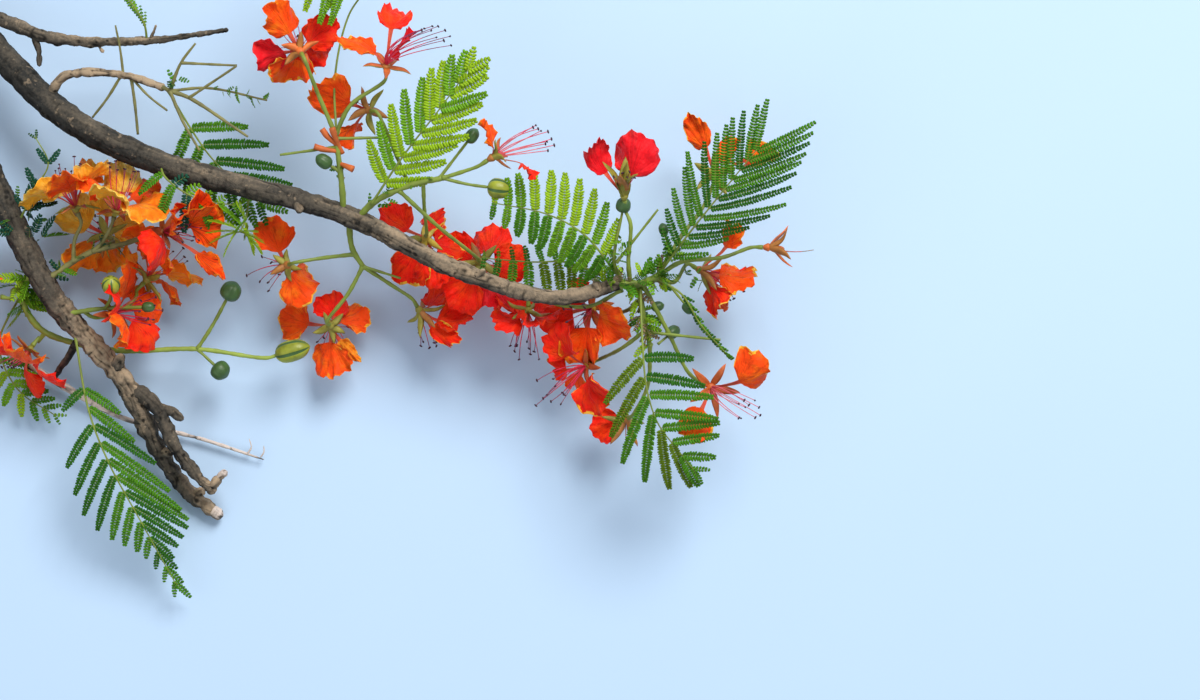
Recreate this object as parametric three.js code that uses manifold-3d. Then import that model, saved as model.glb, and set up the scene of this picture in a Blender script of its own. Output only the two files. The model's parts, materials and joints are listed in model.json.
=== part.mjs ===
// A cut flowering limb of a flame tree, lying on level ground.
// Millimetres, +Z up. The finished group stands with its box centred on X and Y and its lowest point at Z 0.
// The plan that the tables below use has its datum on the ground under the fork, where the two boughs part:
// x runs along the limb towards its flowering tip, y runs across it and z is the height above the ground.

import * as THREE from "three";
import { mergeVertices } from "three/addons/utils/BufferGeometryUtils.js";
import Module from "manifold-3d";

const wasm = await Module();
wasm.setup();

// Clearance between neighbouring solids.
const GAP = 0.3;

// A full flower, from its receptacle: petals with a narrow claw and a round limb, five sepals and the stamens.
const FLOWER = {
  cupLength: 7,
  cupRadius: 4.2,
  clawLength: 21,
  clawWidth: 4.5,
  limbLength: 40,
  limbWidth: 42,
  petalThickness: 1.6,
  sepalLength: 27,
  sepalWidth: 8.5,
  sepalThickness: 1.6,
  stamenLength: 52,
  stamenWidth: 1.6,
  stamenThickness: 1.4,
};
const PETAL_COUNT = 5;
const STAMEN_RODS = 3;
// The receptacle's two rings: their place along it and their radius, as shares of its length and radius.
const CUP_RINGS = [[0.3, 0.7], [0.8, 1]];
// Where the parts leave the receptacle, as shares of its length.
const SEAT = { sepal: 0.3, petal: 0.6, stamen: 0.8 };
// Angles from a full flower's axis: along the claw, the first part of the limb, its middle and its recurved end.
const PETAL_ANGLES = [42, 70, 90, 104];
// The lengths of the limb's three parts, as shares of it, and the width where the first ends beside the widest.
const LIMB_PARTS = [0.38, 0.38, 0.24];
const LIMB_SHOULDER = 0.76;
// A sepal's general angle from the axis, and how its first and second halves bend away from that.
const SEPAL_ANGLE = 106;
const SEPAL_BEND = [-16, 8];
const STAMEN_ANGLES = [27, 7];

// Half a bud's length beside its radius, and how far its middle stands off the stalk's end as a share of that half.
const BUD_LENGTH = 1.5;
const BUD_SEAT = 0.8;
// A bud's rings: their place as a share of that half, and their radius beside the bud's.
const BUD_RINGS = [[-0.4, 1], [0.4, 0.92]];
const BUD_SIDES = 6;

// How far below a flower's foot its stalk has already turned into the flower's own line.
const STALK_APPROACH = 11.2;

// A compound leaf: side leaflet rows stand in pairs along its stalk.
const LEAF = {
  stalkRadius: 1.7,
  tipRadius: 0.8,
  stalkSides: 3,
  stalkSteps: 7,
  rowWidth: 11,
  rowThickness: 1.3,
  // Share of the room between two rows that a row fills, and the widest a row is beside its own length.
  rowFill: 0.84,
  rowStout: 0.4,
  // Share of the stalk that is bare, where along it the last pair stands, and how much of its length a row droops.
  bare: 0.16,
  end: 0.985,
  droop: 0.16,
  // Where the first pair stands on the swell of row lengths, and how long the last pair is beside the longest.
  firstRow: 0.24,
  lastRow: 0.4,
  // How far the first and last pair lean from the stalk beside the leaf's general angle.
  leans: [1.1, 0.5],
  // The parts of a row's length where its outline bends, and its width at the second beside the first.
  rowBends: [0.2, 0.82],
  rowTaper: 0.9,
};

const COLOURS = {
  bark: { color: 0x8a7a6a, roughness: 0.9 },
  deadwood: { color: 0x9c8f84, roughness: 0.95 },
  stem: { color: 0x6d8a2c, roughness: 0.6 },
  leaf: { color: 0x4c8a1e, roughness: 0.55 },
  petal: { color: 0xf03a14, roughness: 0.5 },
};

// Woody limbs: the centreline, the radius at its foot and tip, and the limb that carries it.
const LIMBS = {
  butt: { path: [[-52, 62, 23.6], [-26, 31, 33], [0, 0, 43], [10, -14, 46]], radius: [23, 19], sides: 10, steps: 6 },
  bough_main: {
    path: [[2, -4, 44], [100, -97, 70], [160, -153, 87], [257, -202, 104], [445, -255, 119], [553, -308, 121],
      [655, -338, 120], [722, -323, 124]],
    radius: [17, 7.5], sides: 8, steps: 20, on: ["butt"],
  },
  bough_second: {
    path: [[4, -8, 43], [66, -172, 71], [110, -266, 76], [152, -343, 71], [215, -420, 52], [245, -486, 31],
      [274, -533, 15], [306, -559, 9]],
    radius: [18, 8.4], sides: 8, steps: 18, on: ["butt", "bough_main"],
  },
  bough_second_fork: {
    path: [[226, -428, 50], [252, -452, 50], [265, -484, 47], [280, -507, 42], [301, -528, 38], [313, -519, 38]],
    radius: [9, 5.2], sides: 7, steps: 9, on: ["bough_second"],
  },
  bough_upper: {
    path: [[38, -38, 58], [100, -58, 78], [148, -77, 95], [238, -82, 106], [330, -71, 111]],
    radius: [9, 2.6], sides: 7, steps: 11, on: ["bough_main"],
  },
  twig_middle: {
    path: [[146, -134, 84], [160, -118, 93], [176, -113, 99], [222, -115, 106], [267, -129, 110]],
    radius: [5.6, 4], sides: 6, steps: 8, on: ["bough_main"],
  },
};

// Thin stems. Each is a set of stalks fused together; a stalk may end under a flower, or carry a bud.
const STEMS = {
  twig_dead: {
    on: ["bough_second"], sides: 5,
    stalks: [
      { path: [[170, -380, 58], [160, -396, 48], [148, -409, 34], [139, -419, 21]], radius: [4.4, 3.6] },
      { path: [[74, -380, 26], [138, -420, 20], [207, -459, 13], [291, -482, 10], [354, -503, 9]], radius: [5, 1.4] },
    ],
  },
  stalks_bare: {
    on: ["twig_middle"], sides: 3,
    stalks: [
      { path: [[262, -127, 110], [272, -132, 114], [291, -139, 114], [350, -178, 118]], radius: [2.6, 1.3] },
      { path: [[272, -132, 114], [284, -105, 122], [299, -86, 126]], radius: [2, 1.2] },
      { path: [[284, -105, 122], [340, -108, 126]], radius: [1.6, 1.2] },
      { path: [[291, -139, 114], [340, -109, 130]], radius: [1.6, 1.2] },
      { path: [[272, -132, 114], [286, -162, 128], [304, -193, 132]], radius: [2, 1.2] },
      { path: [[272, -132, 114], [310, -129, 110], [368, -141, 108]], radius: [1.8, 1] },
    ],
  },
  raceme_left: {
    on: ["bough_second"], sides: 3,
    stalks: [
      { path: [[143, -318, 76], [187, -292, 82], [222, -283, 84]], radius: [3.4, 2.6], flower: "bloom_left_wide" },
      { path: [[170, -302, 80], [172, -280, 86]], radius: [2.4, 1.8], flower: "bloom_left_top" },
      { path: [[190, -291, 82], [200, -282, 88]], radius: [2.4, 1.8], flower: "bloom_left_crown" },
      { path: [[196, -290, 82], [200, -284, 72]], radius: [2.4, 1.8], flower: "bloom_left_back" },
    ],
  },
  raceme_left_low: {
    on: ["bough_second"], sides: 3,
    stalks: [
      { path: [[158, -354, 74], [202, -348, 79], [240, -347, 82]], radius: [3, 1.8], bud: 5 },
      { path: [[202, -348, 79], [210, -341, 86], [211, -336, 90]], radius: [2, 1.6], bud: 7 },
      { path: [[180, -351, 76], [186, -356, 72]], radius: [2.2, 1.8], flower: "bloom_left_low" },
      { path: [[222, -348, 80], [232, -336, 72]], radius: [2.2, 1.8], flower: "bloom_left_inner" },
    ],
  },
  raceme_buds: {
    on: ["bough_second"], sides: 5,
    stalks: [
      { path: [[130, -312, 68], [112, -325, 58], [118, -352, 50], [135, -372, 44], [205, -390, 46], [291, -389, 53],
        [366, -399, 56], [377, -396, 57]], radius: [4, 2.1], steps: 12, bud: 11 },
      { path: [[291, -389, 53], [307, -365, 57], [322, -338, 60]], radius: [2.2, 1.8], bud: 9 },
      { path: [[291, -389, 53], [309, -406, 52]], radius: [1.8, 1.5], bud: 8.5 },
      { path: [[112, -325, 58], [104, -330, 56]], radius: [2.4, 1.8], flower: "bloom_far_left" },
      { path: [[135, -372, 44], [126, -382, 40]], radius: [2.4, 1.8], flower: "bloom_low_left" },
    ],
  },
  raceme_top: {
    on: ["bough_main"], sides: 3,
    stalks: [
      { path: [[445, -254, 118], [445, -230, 134], [440, -178, 150]], radius: [3.6, 2.8] },
      { path: [[440, -178, 150], [424, -140, 160]], radius: [2.6, 1.8], flower: "bloom_top_left" },
      { path: [[440, -178, 150], [456, -150, 162]], radius: [2.6, 1.8], flower: "bloom_top_right" },
      { path: [[441, -190, 146], [385, -198, 148]], radius: [1.8, 1.3] },
      { path: [[440, -182, 148], [498, -180, 140]], radius: [1.8, 1.3] },
      { path: [[443, -214, 140], [434, -208, 144]], radius: [1.8, 1.5], bud: 6.5 },
    ],
  },
  raceme_middle: {
    on: ["bough_main"], sides: 3,
    stalks: [
      { path: [[458, -260, 119], [478, -243, 135], [512, -228, 146], [545, -221, 150]], radius: [3.8, 2.8] },
      { path: [[545, -221, 150], [568, -214, 154]], radius: [2.4, 1.8], flower: "bloom_stamens" },
      { path: [[545, -221, 150], [570, -227, 150], [591, -230, 150]], radius: [1.9, 1.5], bud: 9 },
      { path: [[542, -221, 150], [570, -185, 152]], radius: [1.8, 1.4], bud: 6 },
      { path: [[512, -228, 146], [500, -200, 142]], radius: [2.2, 1.7], flower: "bloom_fading" },
      { path: [[526, -226, 147], [526, -250, 128]], radius: [2.2, 1.8], flower: "bloom_behind_left" },
      { path: [[502, -233, 143], [540, -268, 124]], radius: [2.4, 1.8], flower: "bloom_behind_right" },
    ],
  },
  raceme_hanging: {
    on: ["bough_main"], sides: 3,
    stalks: [
      { path: [[450, -259, 114], [452, -288, 98], [462, -306, 90]], radius: [3.6, 2.8] },
      { path: [[462, -306, 90], [492, -326, 76]], radius: [2.4, 1.8], flower: "bloom_low_right" },
      { path: [[462, -306, 90], [446, -334, 80]], radius: [2.4, 1.8], flower: "bloom_low_wide" },
      { path: [[455, -294, 95], [420, -298, 92]], radius: [2.4, 1.8], flower: "bloom_low_orange" },
      { path: [[462, -306, 90], [500, -318, 88]], radius: [1.8, 1.2] },
    ],
  },
  shoot_tip: {
    on: ["bough_main"], sides: 3,
    stalks: [
      { path: [[714, -325, 123], [740, -324, 128], [758, -317, 132]], radius: [5, 3.4] },
      { path: [[730, -324, 126], [728, -302, 140], [730, -266, 152]], radius: [2.6, 1.9], flower: "bloom_wings" },
      { path: [[722, -322, 126], [714, -302, 142], [722, -254, 152]], radius: [2, 1.4], bud: 6.5 },
      { path: [[716, -304, 142], [757, -252, 154]], radius: [1.6, 1.2] },
      { path: [[756, -318, 131], [780, -278, 116], [803, -247, 104]], radius: [2.6, 1.9], flower: "bloom_under_leaf" },
      { path: [[756, -318, 131], [780, -303, 128], [822, -298, 123]], radius: [2.6, 1.9], flower: "calyx_spent" },
      { path: [[752, -320, 130], [774, -322, 116]], radius: [2.6, 1.9], flower: "bloom_nodding" },
      { path: [[742, -324, 126], [768, -372, 106], [790, -414, 88]], radius: [2.6, 1.9], flower: "bloom_right" },
      { path: [[738, -326, 122], [744, -360, 110], [750, -386, 100]], radius: [3.4, 2.6] },
      { path: [[746, -372, 106], [820, -380, 112]], radius: [1.8, 1.4] },
      { path: [[746, -370, 107], [722, -388, 92]], radius: [2.4, 1.8], flower: "bloom_under_middle" },
      { path: [[750, -384, 101], [748, -426, 80]], radius: [2.4, 1.8], flower: "bloom_under_low" },
      { path: [[741, -342, 116], [722, -352, 92]], radius: [2.4, 1.8], flower: "bloom_under_near" },
      { path: [[722, -330, 116], [690, -346, 100], [660, -345, 94]], radius: [2.4, 1.8], flower: "bloom_ring" },
      { path: [[744, -350, 112], [752, -348, 112]], radius: [1.4, 1.2], bud: 4.8 },
      { path: [[758, -384, 106], [768, -376, 100]], radius: [1.4, 1.2], bud: 6 },
      { path: [[758, -317, 132], [768, -290, 142], [764, -276, 144]], radius: [1.5, 1.2], bud: 4.5 },
      { path: [[766, -322, 124], [784, -344, 118]], radius: [1.5, 1.2], bud: 5 },
    ],
  },
};

// Flowers: the foot of the receptacle, the way the flower faces and the way its upper petal stands.
const BLOOMS = {
  bloom_left_top: { at: [176, -252, 92], faces: [-0.3, 0.85, 0.1], top: [-0.9, -0.2, 0.4] },
  bloom_left_crown: { at: [214, -256, 98], faces: [0.3, 0.8, 0.3], top: [0.8, -0.2, 0.5] },
  bloom_left_back: { at: [202, -276, 56], faces: [-0.4, 0.3, -0.6], top: [0.1, 0.9, 0] },
  bloom_left_wide: { at: [258, -272, 88], faces: [0.62, 0.1, 0.6], top: [0.2, 0.9, 0] },
  bloom_left_inner: { at: [238, -322, 62], faces: [0.5, 0.6, -0.4], top: [0.8, -0.3, 0.2] },
  bloom_left_low: { at: [204, -355, 72], faces: [0.85, 0.2, 0.4], top: [0.2, 0.9, 0] },
  bloom_low_left: { at: [120, -392, 46], faces: [-0.5, -0.7, 0.3], top: [0.8, -0.4, 0.2], petals: [0, 1, 2, 4] },
  bloom_far_left: { at: [92, -336, 58], faces: [-0.9, 0.1, 0.2], top: [0.1, 0.9, 0.3] },
  bloom_top_left: { at: [408, -100, 166], faces: [-0.3, 0.5, -0.7], top: [-0.5, 0.8, 0.3] },
  bloom_top_right: { at: [486, -109, 172], faces: [0.1, 0.75, 0.55], top: [-0.9, 0.3, 0], petals: [0, 4] },
  bloom_fading: { at: [474, -154, 140], faces: [-0.55, 0.2, -0.7], top: [-0.9, 0.3, 0.2], petals: [0, 4] },
  bloom_stamens: { at: [590, -202, 160], faces: [0.75, 0.6, 0.15], top: [-0.4, 0.8, 0.2], petals: [0, 2, 3] },
  bloom_behind_left: { at: [526, -280, 100], faces: [-0.1, -0.35, -0.8], top: [0.8, 0.5, 0] },
  bloom_behind_right: { at: [578, -300, 86], faces: [0.15, -0.25, -0.9], top: [0.1, 1, 0] },
  bloom_low_right: { at: [515, -346, 66], faces: [0.35, -0.6, -0.6], top: [0.9, 0.1, 0.3], petals: [0, 1, 4] },
  bloom_low_wide: { at: [424, -362, 66], faces: [-0.25, 0.1, -0.85], top: [0.9, 0.4, 0] },
  bloom_low_orange: { at: [384, -304, 88], faces: [-0.2, 0.45, -0.7], top: [-0.3, 0.9, 0.3], petals: [0, 1, 4] },
  bloom_ring: { at: [628, -346, 86], faces: [-0.1, -0.9, -0.4], top: [0, -0.3, 0.9] },
  bloom_wings: { at: [728, -236, 160], faces: [-0.05, 0.8, 0.6], top: [-0.62, 0.4, -0.6], petals: [0, 4], open: 0.72 },
  bloom_under_leaf: { at: [814, -216, 98], faces: [0, 0.35, -0.85], top: [-0.42, 0.85, 0.3] },
  calyx_spent: { at: [862, -288, 120], faces: [0.95, 0, 0.1], top: [0, 0.9, 0.2], petals: [], rods: 1, sepals: 54 },
  bloom_nodding: { at: [799, -320, 98], faces: [0.72, -0.2, -0.6], top: [0.5, 0.8, 0.3] },
  bloom_right: { at: [811, -427, 84], faces: [0.15, -0.1, 0.9], top: [0.84, 0.54, 0], petals: [0, 3], open: 0.92 },
  bloom_under_near: { at: [694, -348, 66], faces: [-0.35, -0.1, 0.8], top: [-0.9, -0.25, 0], petals: [0, 4] },
  bloom_under_middle: { at: [690, -404, 66], faces: [-0.62, -0.3, 0.6], top: [-0.3, 0.9, 0.1], petals: [0, 2, 3] },
  bloom_under_low: { at: [729, -459, 58], faces: [-0.5, -0.65, -0.4], top: [0, 0, -1], petals: [0, 1, 4] },
};

// Compound leaves: the stalk's line, the pairs of leaflet rows, their length to the left and right of the stalk,
// their angle from it, and how far the leaf's blade is rolled about the stalk.
const LEAVES = {
  leaf_bright: {
    path: [[474, -246, 136], [507, -200, 160], [544, -155, 178], [573, -117, 190]],
    pairs: 10, rows: [50, 52], angle: 50, roll: 8, on: ["raceme_middle"],
  },
  leaf_left_upper: {
    path: [[716, -314, 132], [684, -276, 148], [649, -257, 154], [594, -245, 150]],
    pairs: 10, rows: [40, 44], angle: 84, roll: -14, on: ["shoot_tip", "bough_main"],
  },
  leaf_left_lower: {
    path: [[718, -324, 118], [670, -303, 108], [630, -302, 104], [582, -298, 104]],
    pairs: 9, rows: [44, 46], angle: 84, roll: 10, on: ["shoot_tip", "bough_main"],
  },
  leaf_tip_right: {
    path: [[757, -317, 132], [784, -280, 156], [815, -241, 184], [851, -197, 212]],
    pairs: 12, rows: [64, 78], angle: 54, roll: 12, lastRow: 0.75, on: ["shoot_tip"],
  },
  leaf_tip_low: {
    path: [[740, -328, 124], [748, -385, 146], [748, -428, 146], [758, -462, 138], [782, -486, 124]],
    pairs: 9, rows: [60, 58], angle: 76, roll: 10, bare: 0.36, lastRow: 0.6, on: ["shoot_tip"],
  },
  leaf_slender: {
    path: [[756, -319, 131], [781, -335, 130], [800, -365, 124], [825, -393, 118]],
    pairs: 3, rows: [17, 17], angle: 34, roll: 30, on: ["shoot_tip"],
  },
  leaf_hanging: {
    path: [[170, -374, 72], [188, -451, 78], [210, -504, 76], [238, -558, 62], [270, -628, 30]],
    pairs: 13, rows: [84, 58], angle: 44, roll: 0, bare: 0.2, lastRow: 0.34, on: ["bough_second"],
  },
  leaf_behind_bough: {
    path: [[268, -130, 106], [290, -168, 96], [308, -195, 86], [332, -220, 82], [358, -243, 84]],
    pairs: 6, rows: [66, 52], angle: 56, roll: 0, bare: 0.3, on: ["twig_middle", "stalks_bare"],
  },
  leaf_over_bough: {
    path: [[262, -204, 110], [268, -218, 122], [296, -238, 120], [336, -246, 108]],
    pairs: 6, rows: [34, 36], angle: 80, roll: 0, on: ["bough_main"],
  },
  leaf_dark: {
    path: [[116, -260, 82], [136, -228, 102], [150, -204, 110], [138, -178, 114]],
    pairs: 4, rows: [18, 18], angle: 60, roll: 20, on: ["bough_second"],
  },
  leaf_young: {
    path: [[350, -229, 106], [346, -256, 96], [342, -270, 108], [340, -274, 132]],
    pairs: 4, rows: [27, 27], angle: 62, roll: 0, bare: 0.4, on: ["bough_main"],
  },
  leaf_top: {
    path: [[441, -182, 150], [436, -120, 134], [448, -50, 130], [470, 6, 142], [452, 36, 152], [404, 44, 156]],
    pairs: 5, rows: [88, 64], angle: 82, roll: 0, bare: 0.8, on: ["raceme_top"],
  },
  leaf_far_left: {
    path: [[114, -330, 56], [88, -384, 44], [104, -430, 30], [142, -458, 20]],
    pairs: 8, rows: [28, 28], angle: 66, roll: 0, bare: 0.4, on: ["raceme_buds"],
  },
  leaf_sprig: {
    path: [[248, -82, 106], [247, -66, 118], [238, -50, 126], [226, -34, 132]],
    pairs: 3, rows: [17, 17], angle: 50, roll: 10, on: ["bough_upper"],
  },
};

const vector = ([x, y, z]) => new THREE.Vector3(x, y, z);
const degrees = THREE.MathUtils.degToRad;
const mix = THREE.MathUtils.lerp;
// Angles that share a full turn evenly.
const turns = (count, first = 0) => Array.from({ length: count }, (_, k) => ((k + first) * 2 * Math.PI) / count);

// Turns a closed geometry into a solid, and turns it the right way out.
function solidOf(positions, triangles) {
  const geometry = new THREE.BufferGeometry();
  geometry.setAttribute("position", new THREE.Float32BufferAttribute(positions.flatMap((p) => p.toArray()), 3));
  geometry.setIndex(triangles);
  const merged = mergeVertices(geometry, 1e-4);
  const triVerts = new Uint32Array(merged.index.array);
  const make = () =>
    new wasm.Manifold(new wasm.Mesh({ numProp: 3, vertProperties: merged.attributes.position.array, triVerts }));
  const made = make();
  if (made.volume() > 0) return made;
  for (let i = 0; i < triVerts.length; i += 3)
    [triVerts[i + 1], triVerts[i + 2]] = [triVerts[i + 2], triVerts[i + 1]];
  return make();
}

// A skin over rings of points that all have the same count, closed at each end by a fan from a point.
function loft(rings, start, end) {
  const count = rings[0].length;
  const positions = [...rings.flat(), start, end];
  const first = rings.length * count;
  const triangles = [];
  for (let side = 0; side < count; side++) {
    const next = (side + 1) % count;
    triangles.push(first, next, side);
    for (let ring = 0; ring + 1 < rings.length; ring++) {
      const low = ring * count;
      const high = low + count;
      triangles.push(low + side, low + next, high + side, low + next, high + next, high + side);
    }
    const last = first - count;
    triangles.push(first + 1, last + side, last + next);
  }
  return solidOf(positions, triangles);
}

// A tapering round limb along a smooth line, with a flat end at its foot and tip.
function tube({ path, radius, sides, steps }, extra = 0) {
  const curve = new THREE.CatmullRomCurve3(path.map(vector), false, "centripetal");
  const frames = curve.computeFrenetFrames(steps, false);
  const grown = extra / Math.cos(Math.PI / sides);
  const rings = [];
  for (let step = 0; step <= steps; step++) {
    const middle = curve.getPointAt(step / steps);
    const r = mix(radius[0], radius[1], step / steps) + grown;
    const ring = turns(sides).map((turn) =>
      middle
        .clone()
        .addScaledVector(frames.normals[step], r * Math.cos(turn))
        .addScaledVector(frames.binormals[step], r * Math.sin(turn)),
    );
    rings.push(ring);
  }
  const [foot, tip] = [curve.getPointAt(0), curve.getPointAt(1)];
  foot.addScaledVector(frames.tangents[0], -extra);
  tip.addScaledVector(frames.tangents[steps], extra);
  for (const point of rings[0]) point.addScaledVector(frames.tangents[0], -extra);
  for (const point of rings[steps]) point.addScaledVector(frames.tangents[steps], extra);
  return loft(rings, foot, tip);
}

// A thin blade along a spine of points: each middle point has a width, flat above and keeled below.
function blade(spine, widths, up, thickness) {
  const rings = widths.map((width, i) => {
    const along = spine[i + 2].clone().sub(spine[i]).normalize();
    const across = new THREE.Vector3().crossVectors(along, up).normalize();
    const above = new THREE.Vector3().crossVectors(across, along).normalize();
    const middle = spine[i + 1];
    return [
      middle.clone().addScaledVector(across, width / 2),
      middle.clone().addScaledVector(across, -width / 2),
      middle.clone().addScaledVector(above, -thickness),
    ];
  });
  return loft(rings, spine[0], spine[spine.length - 1]);
}

// A closed bud: an egg that carries on the line of its stalk, whose end is sunk into it.
function bud(radius, extra, path) {
  const [before, end] = path.slice(-2).map(vector);
  const axis = end.clone().sub(before).normalize();
  const half = radius * BUD_LENGTH;
  const middle = end.addScaledVector(axis, half * BUD_SEAT);
  const side = new THREE.Vector3(0, 0, 1).cross(axis).normalize();
  const other = axis.clone().cross(side);
  const rings = BUD_RINGS.map(([along, share]) =>
    turns(BUD_SIDES).map((turn) =>
      middle
        .clone()
        .addScaledVector(axis, half * along)
        .addScaledVector(side, (radius * share + extra) * Math.cos(turn))
        .addScaledVector(other, (radius * share + extra) * Math.sin(turn)),
    ),
  );
  const pole = half + extra;
  return loft(rings, middle.clone().addScaledVector(axis, -pole), middle.clone().addScaledVector(axis, pole));
}

const join = (solids) => wasm.Manifold.union(solids);
const largest = (solid) => solid.decompose().sort((a, b) => b.volume() - a.volume())[0];

// Everything that is already in place, by name: the solid, its box, and the solid grown by the clearance.
const placed = new Map();

function place(name, solid, grown) {
  placed.set(name, { solid, grown, box: solid.boundingBox() });
}

function cutClear(solid, names = []) {
  return names.reduce((left, name) => left.subtract(placed.get(name).grown), solid);
}

// True where a small part would come nearer than the clearance to anything in place.
function touches(part) {
  const box = part.boundingBox();
  for (const other of placed.values()) {
    const apart = [0, 1, 2].some(
      (k) => box.min[k] > other.box.max[k] + GAP || other.box.min[k] > box.max[k] + GAP,
    );
    if (!apart && part.minGap(other.solid, 2 * GAP) < GAP) return true;
  }
  return false;
}

// A flower's own directions: its axis, and a direction round it at an angle from its upper petal.
function flowerAxes({ faces, top, open = 1, sepals = SEPAL_ANGLE }) {
  const axis = vector(faces).normalize();
  const upper = vector(top);
  upper.addScaledVector(axis, -upper.dot(axis)).normalize();
  const side = axis.clone().cross(upper);
  const round = (turn) => upper.clone().multiplyScalar(Math.cos(turn)).addScaledVector(side, Math.sin(turn));
  const lean = (turn, angle) =>
    axis.clone().multiplyScalar(Math.cos(degrees(angle))).addScaledVector(round(turn), Math.sin(degrees(angle)));
  return { axis, round, lean, open, sepals };
}

// One petal: up its claw, then out along the round limb, which curls back at its end.
function petal(foot, turn, { lean, open }) {
  const { clawLength, clawWidth, limbLength, limbWidth, petalThickness } = FLOWER;
  const steps = [clawLength, ...LIMB_PARTS.map((share) => share * limbLength)];
  const angles = PETAL_ANGLES.map((angle) => angle * open);
  const spine = [foot];
  steps.forEach((length, i) => spine.push(spine[i].clone().addScaledVector(lean(turn, angles[i]), length)));
  const widths = [clawWidth, limbWidth * LIMB_SHOULDER, limbWidth];
  return blade(spine, widths, lean(turn, angles[1] - 90), petalThickness);
}

// A narrow blade of two halves, each at its own angle from the flower's axis.
function pointedBlade(foot, turn, { lean }, angles, length, width, thickness) {
  const middle = foot.clone().addScaledVector(lean(turn, angles[0]), length / 2);
  const tip = middle.clone().addScaledVector(lean(turn, angles[1]), length / 2);
  return blade([foot, middle, tip], [width], lean(turn, angles[0] - 90), thickness);
}

function sepal(foot, turn, axes) {
  const { sepalLength, sepalWidth, sepalThickness } = FLOWER;
  const angles = SEPAL_BEND.map((bend) => axes.sepals + bend);
  return pointedBlade(foot, turn, axes, angles, sepalLength, sepalWidth, sepalThickness);
}

function stamen(foot, turn, axes) {
  const { stamenLength, stamenWidth, stamenThickness } = FLOWER;
  return pointedBlade(foot, turn, axes, STAMEN_ANGLES, stamenLength, stamenWidth, stamenThickness);
}

function bloom(spec) {
  const axes = flowerAxes(spec);
  const up = (share) => vector(spec.at).addScaledVector(axes.axis, FLOWER.cupLength * share);
  const rings = CUP_RINGS.map(([along, share]) =>
    turns(PETAL_COUNT).map((turn) => up(along).addScaledVector(axes.round(turn), FLOWER.cupRadius * share)),
  );
  const petalTurns = turns(PETAL_COUNT).filter((_, k) => !spec.petals || spec.petals.includes(k));
  const parts = [
    ...petalTurns.map((turn) => petal(up(SEAT.petal), turn, axes)),
    ...turns(PETAL_COUNT, 0.5).map((turn) => sepal(up(SEAT.sepal), turn, axes)),
    ...turns(spec.rods ?? STAMEN_RODS, 0.25).map((turn) => stamen(up(SEAT.stamen), turn, axes)),
  ];
  return join([loft(rings, up(0), up(1)), ...parts.filter((part) => !touches(part))]);
}

// A stem's stalks and buds. A stalk that carries a flower bends in to meet the flower's foot along its axis.
function stem({ sides, stalks }, extra = 0) {
  const parts = stalks.flatMap((stalk) => {
    const path = [...stalk.path];
    if (stalk.flower) {
      const { at, faces } = BLOOMS[stalk.flower];
      const axis = vector(faces).normalize();
      for (const back of [STALK_APPROACH, GAP])
        path.push(vector(at).addScaledVector(axis, -back).toArray());
    }
    const steps = stalk.steps ?? path.length;
    const line = tube({ path, radius: stalk.radius, sides, steps }, extra);
    return stalk.bud ? [line, bud(stalk.bud, extra, path)] : [line];
  });
  return join(parts);
}

function leafStalk({ path, on }) {
  const { stalkRadius, tipRadius, stalkSides, stalkSteps } = LEAF;
  const line = tube({ path, radius: [stalkRadius, tipRadius], sides: stalkSides, steps: stalkSteps });
  return largest(cutClear(line, on));
}

// One row of leaflets: a blade that runs out from its foot on the leaf's stalk and droops towards its end.
function leafletRow(foot, out, up, reach, widest) {
  const point = (part) =>
    foot.clone().addScaledVector(out, reach * part).addScaledVector(up, -LEAF.droop * reach * part * part);
  const width = Math.min(widest, reach * LEAF.rowStout);
  const spine = [foot, ...LEAF.rowBends.map(point), point(1)];
  return blade(spine, [width, width * LEAF.rowTaper], up, LEAF.rowThickness);
}

// A compound leaf. Its rows of leaflets are blades in pairs, longest near the middle of the stalk.
function leaf(spec, stalk) {
  const { path, pairs, rows, angle, roll, bare = LEAF.bare, lastRow = LEAF.lastRow } = spec;
  const curve = new THREE.CatmullRomCurve3(path.map(vector), false, "centripetal");
  const spacing = (curve.getLength() * (1 - bare) * Math.sin(degrees(angle))) / (pairs - 1);
  const widest = Math.min(LEAF.rowWidth, spacing * LEAF.rowFill);
  const blades = [];
  for (let pair = 0; pair < pairs; pair++) {
    const share = pair / (pairs - 1);
    const at = mix(bare, LEAF.end, share);
    const foot = curve.getPointAt(at);
    const along = curve.getTangentAt(at);
    const up = new THREE.Vector3(0, 0, 1).addScaledVector(along, -along.z).normalize();
    up.applyAxisAngle(along, degrees(roll));
    const left = up.clone().cross(along).normalize();
    const fullness = mix(lastRow, 1, Math.sin(Math.PI * mix(LEAF.firstRow, 1, share)));
    const lean = degrees(angle * mix(...LEAF.leans, share));
    for (const [side, length] of [[1, rows[0]], [-1, rows[1]]]) {
      const out = along.clone().multiplyScalar(Math.cos(lean)).addScaledVector(left, side * Math.sin(lean));
      blades.push(leafletRow(foot, out, up, length * fullness, widest));
    }
  }
  return largest(join([stalk, ...blades.filter((row) => !touches(row))]));
}

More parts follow.
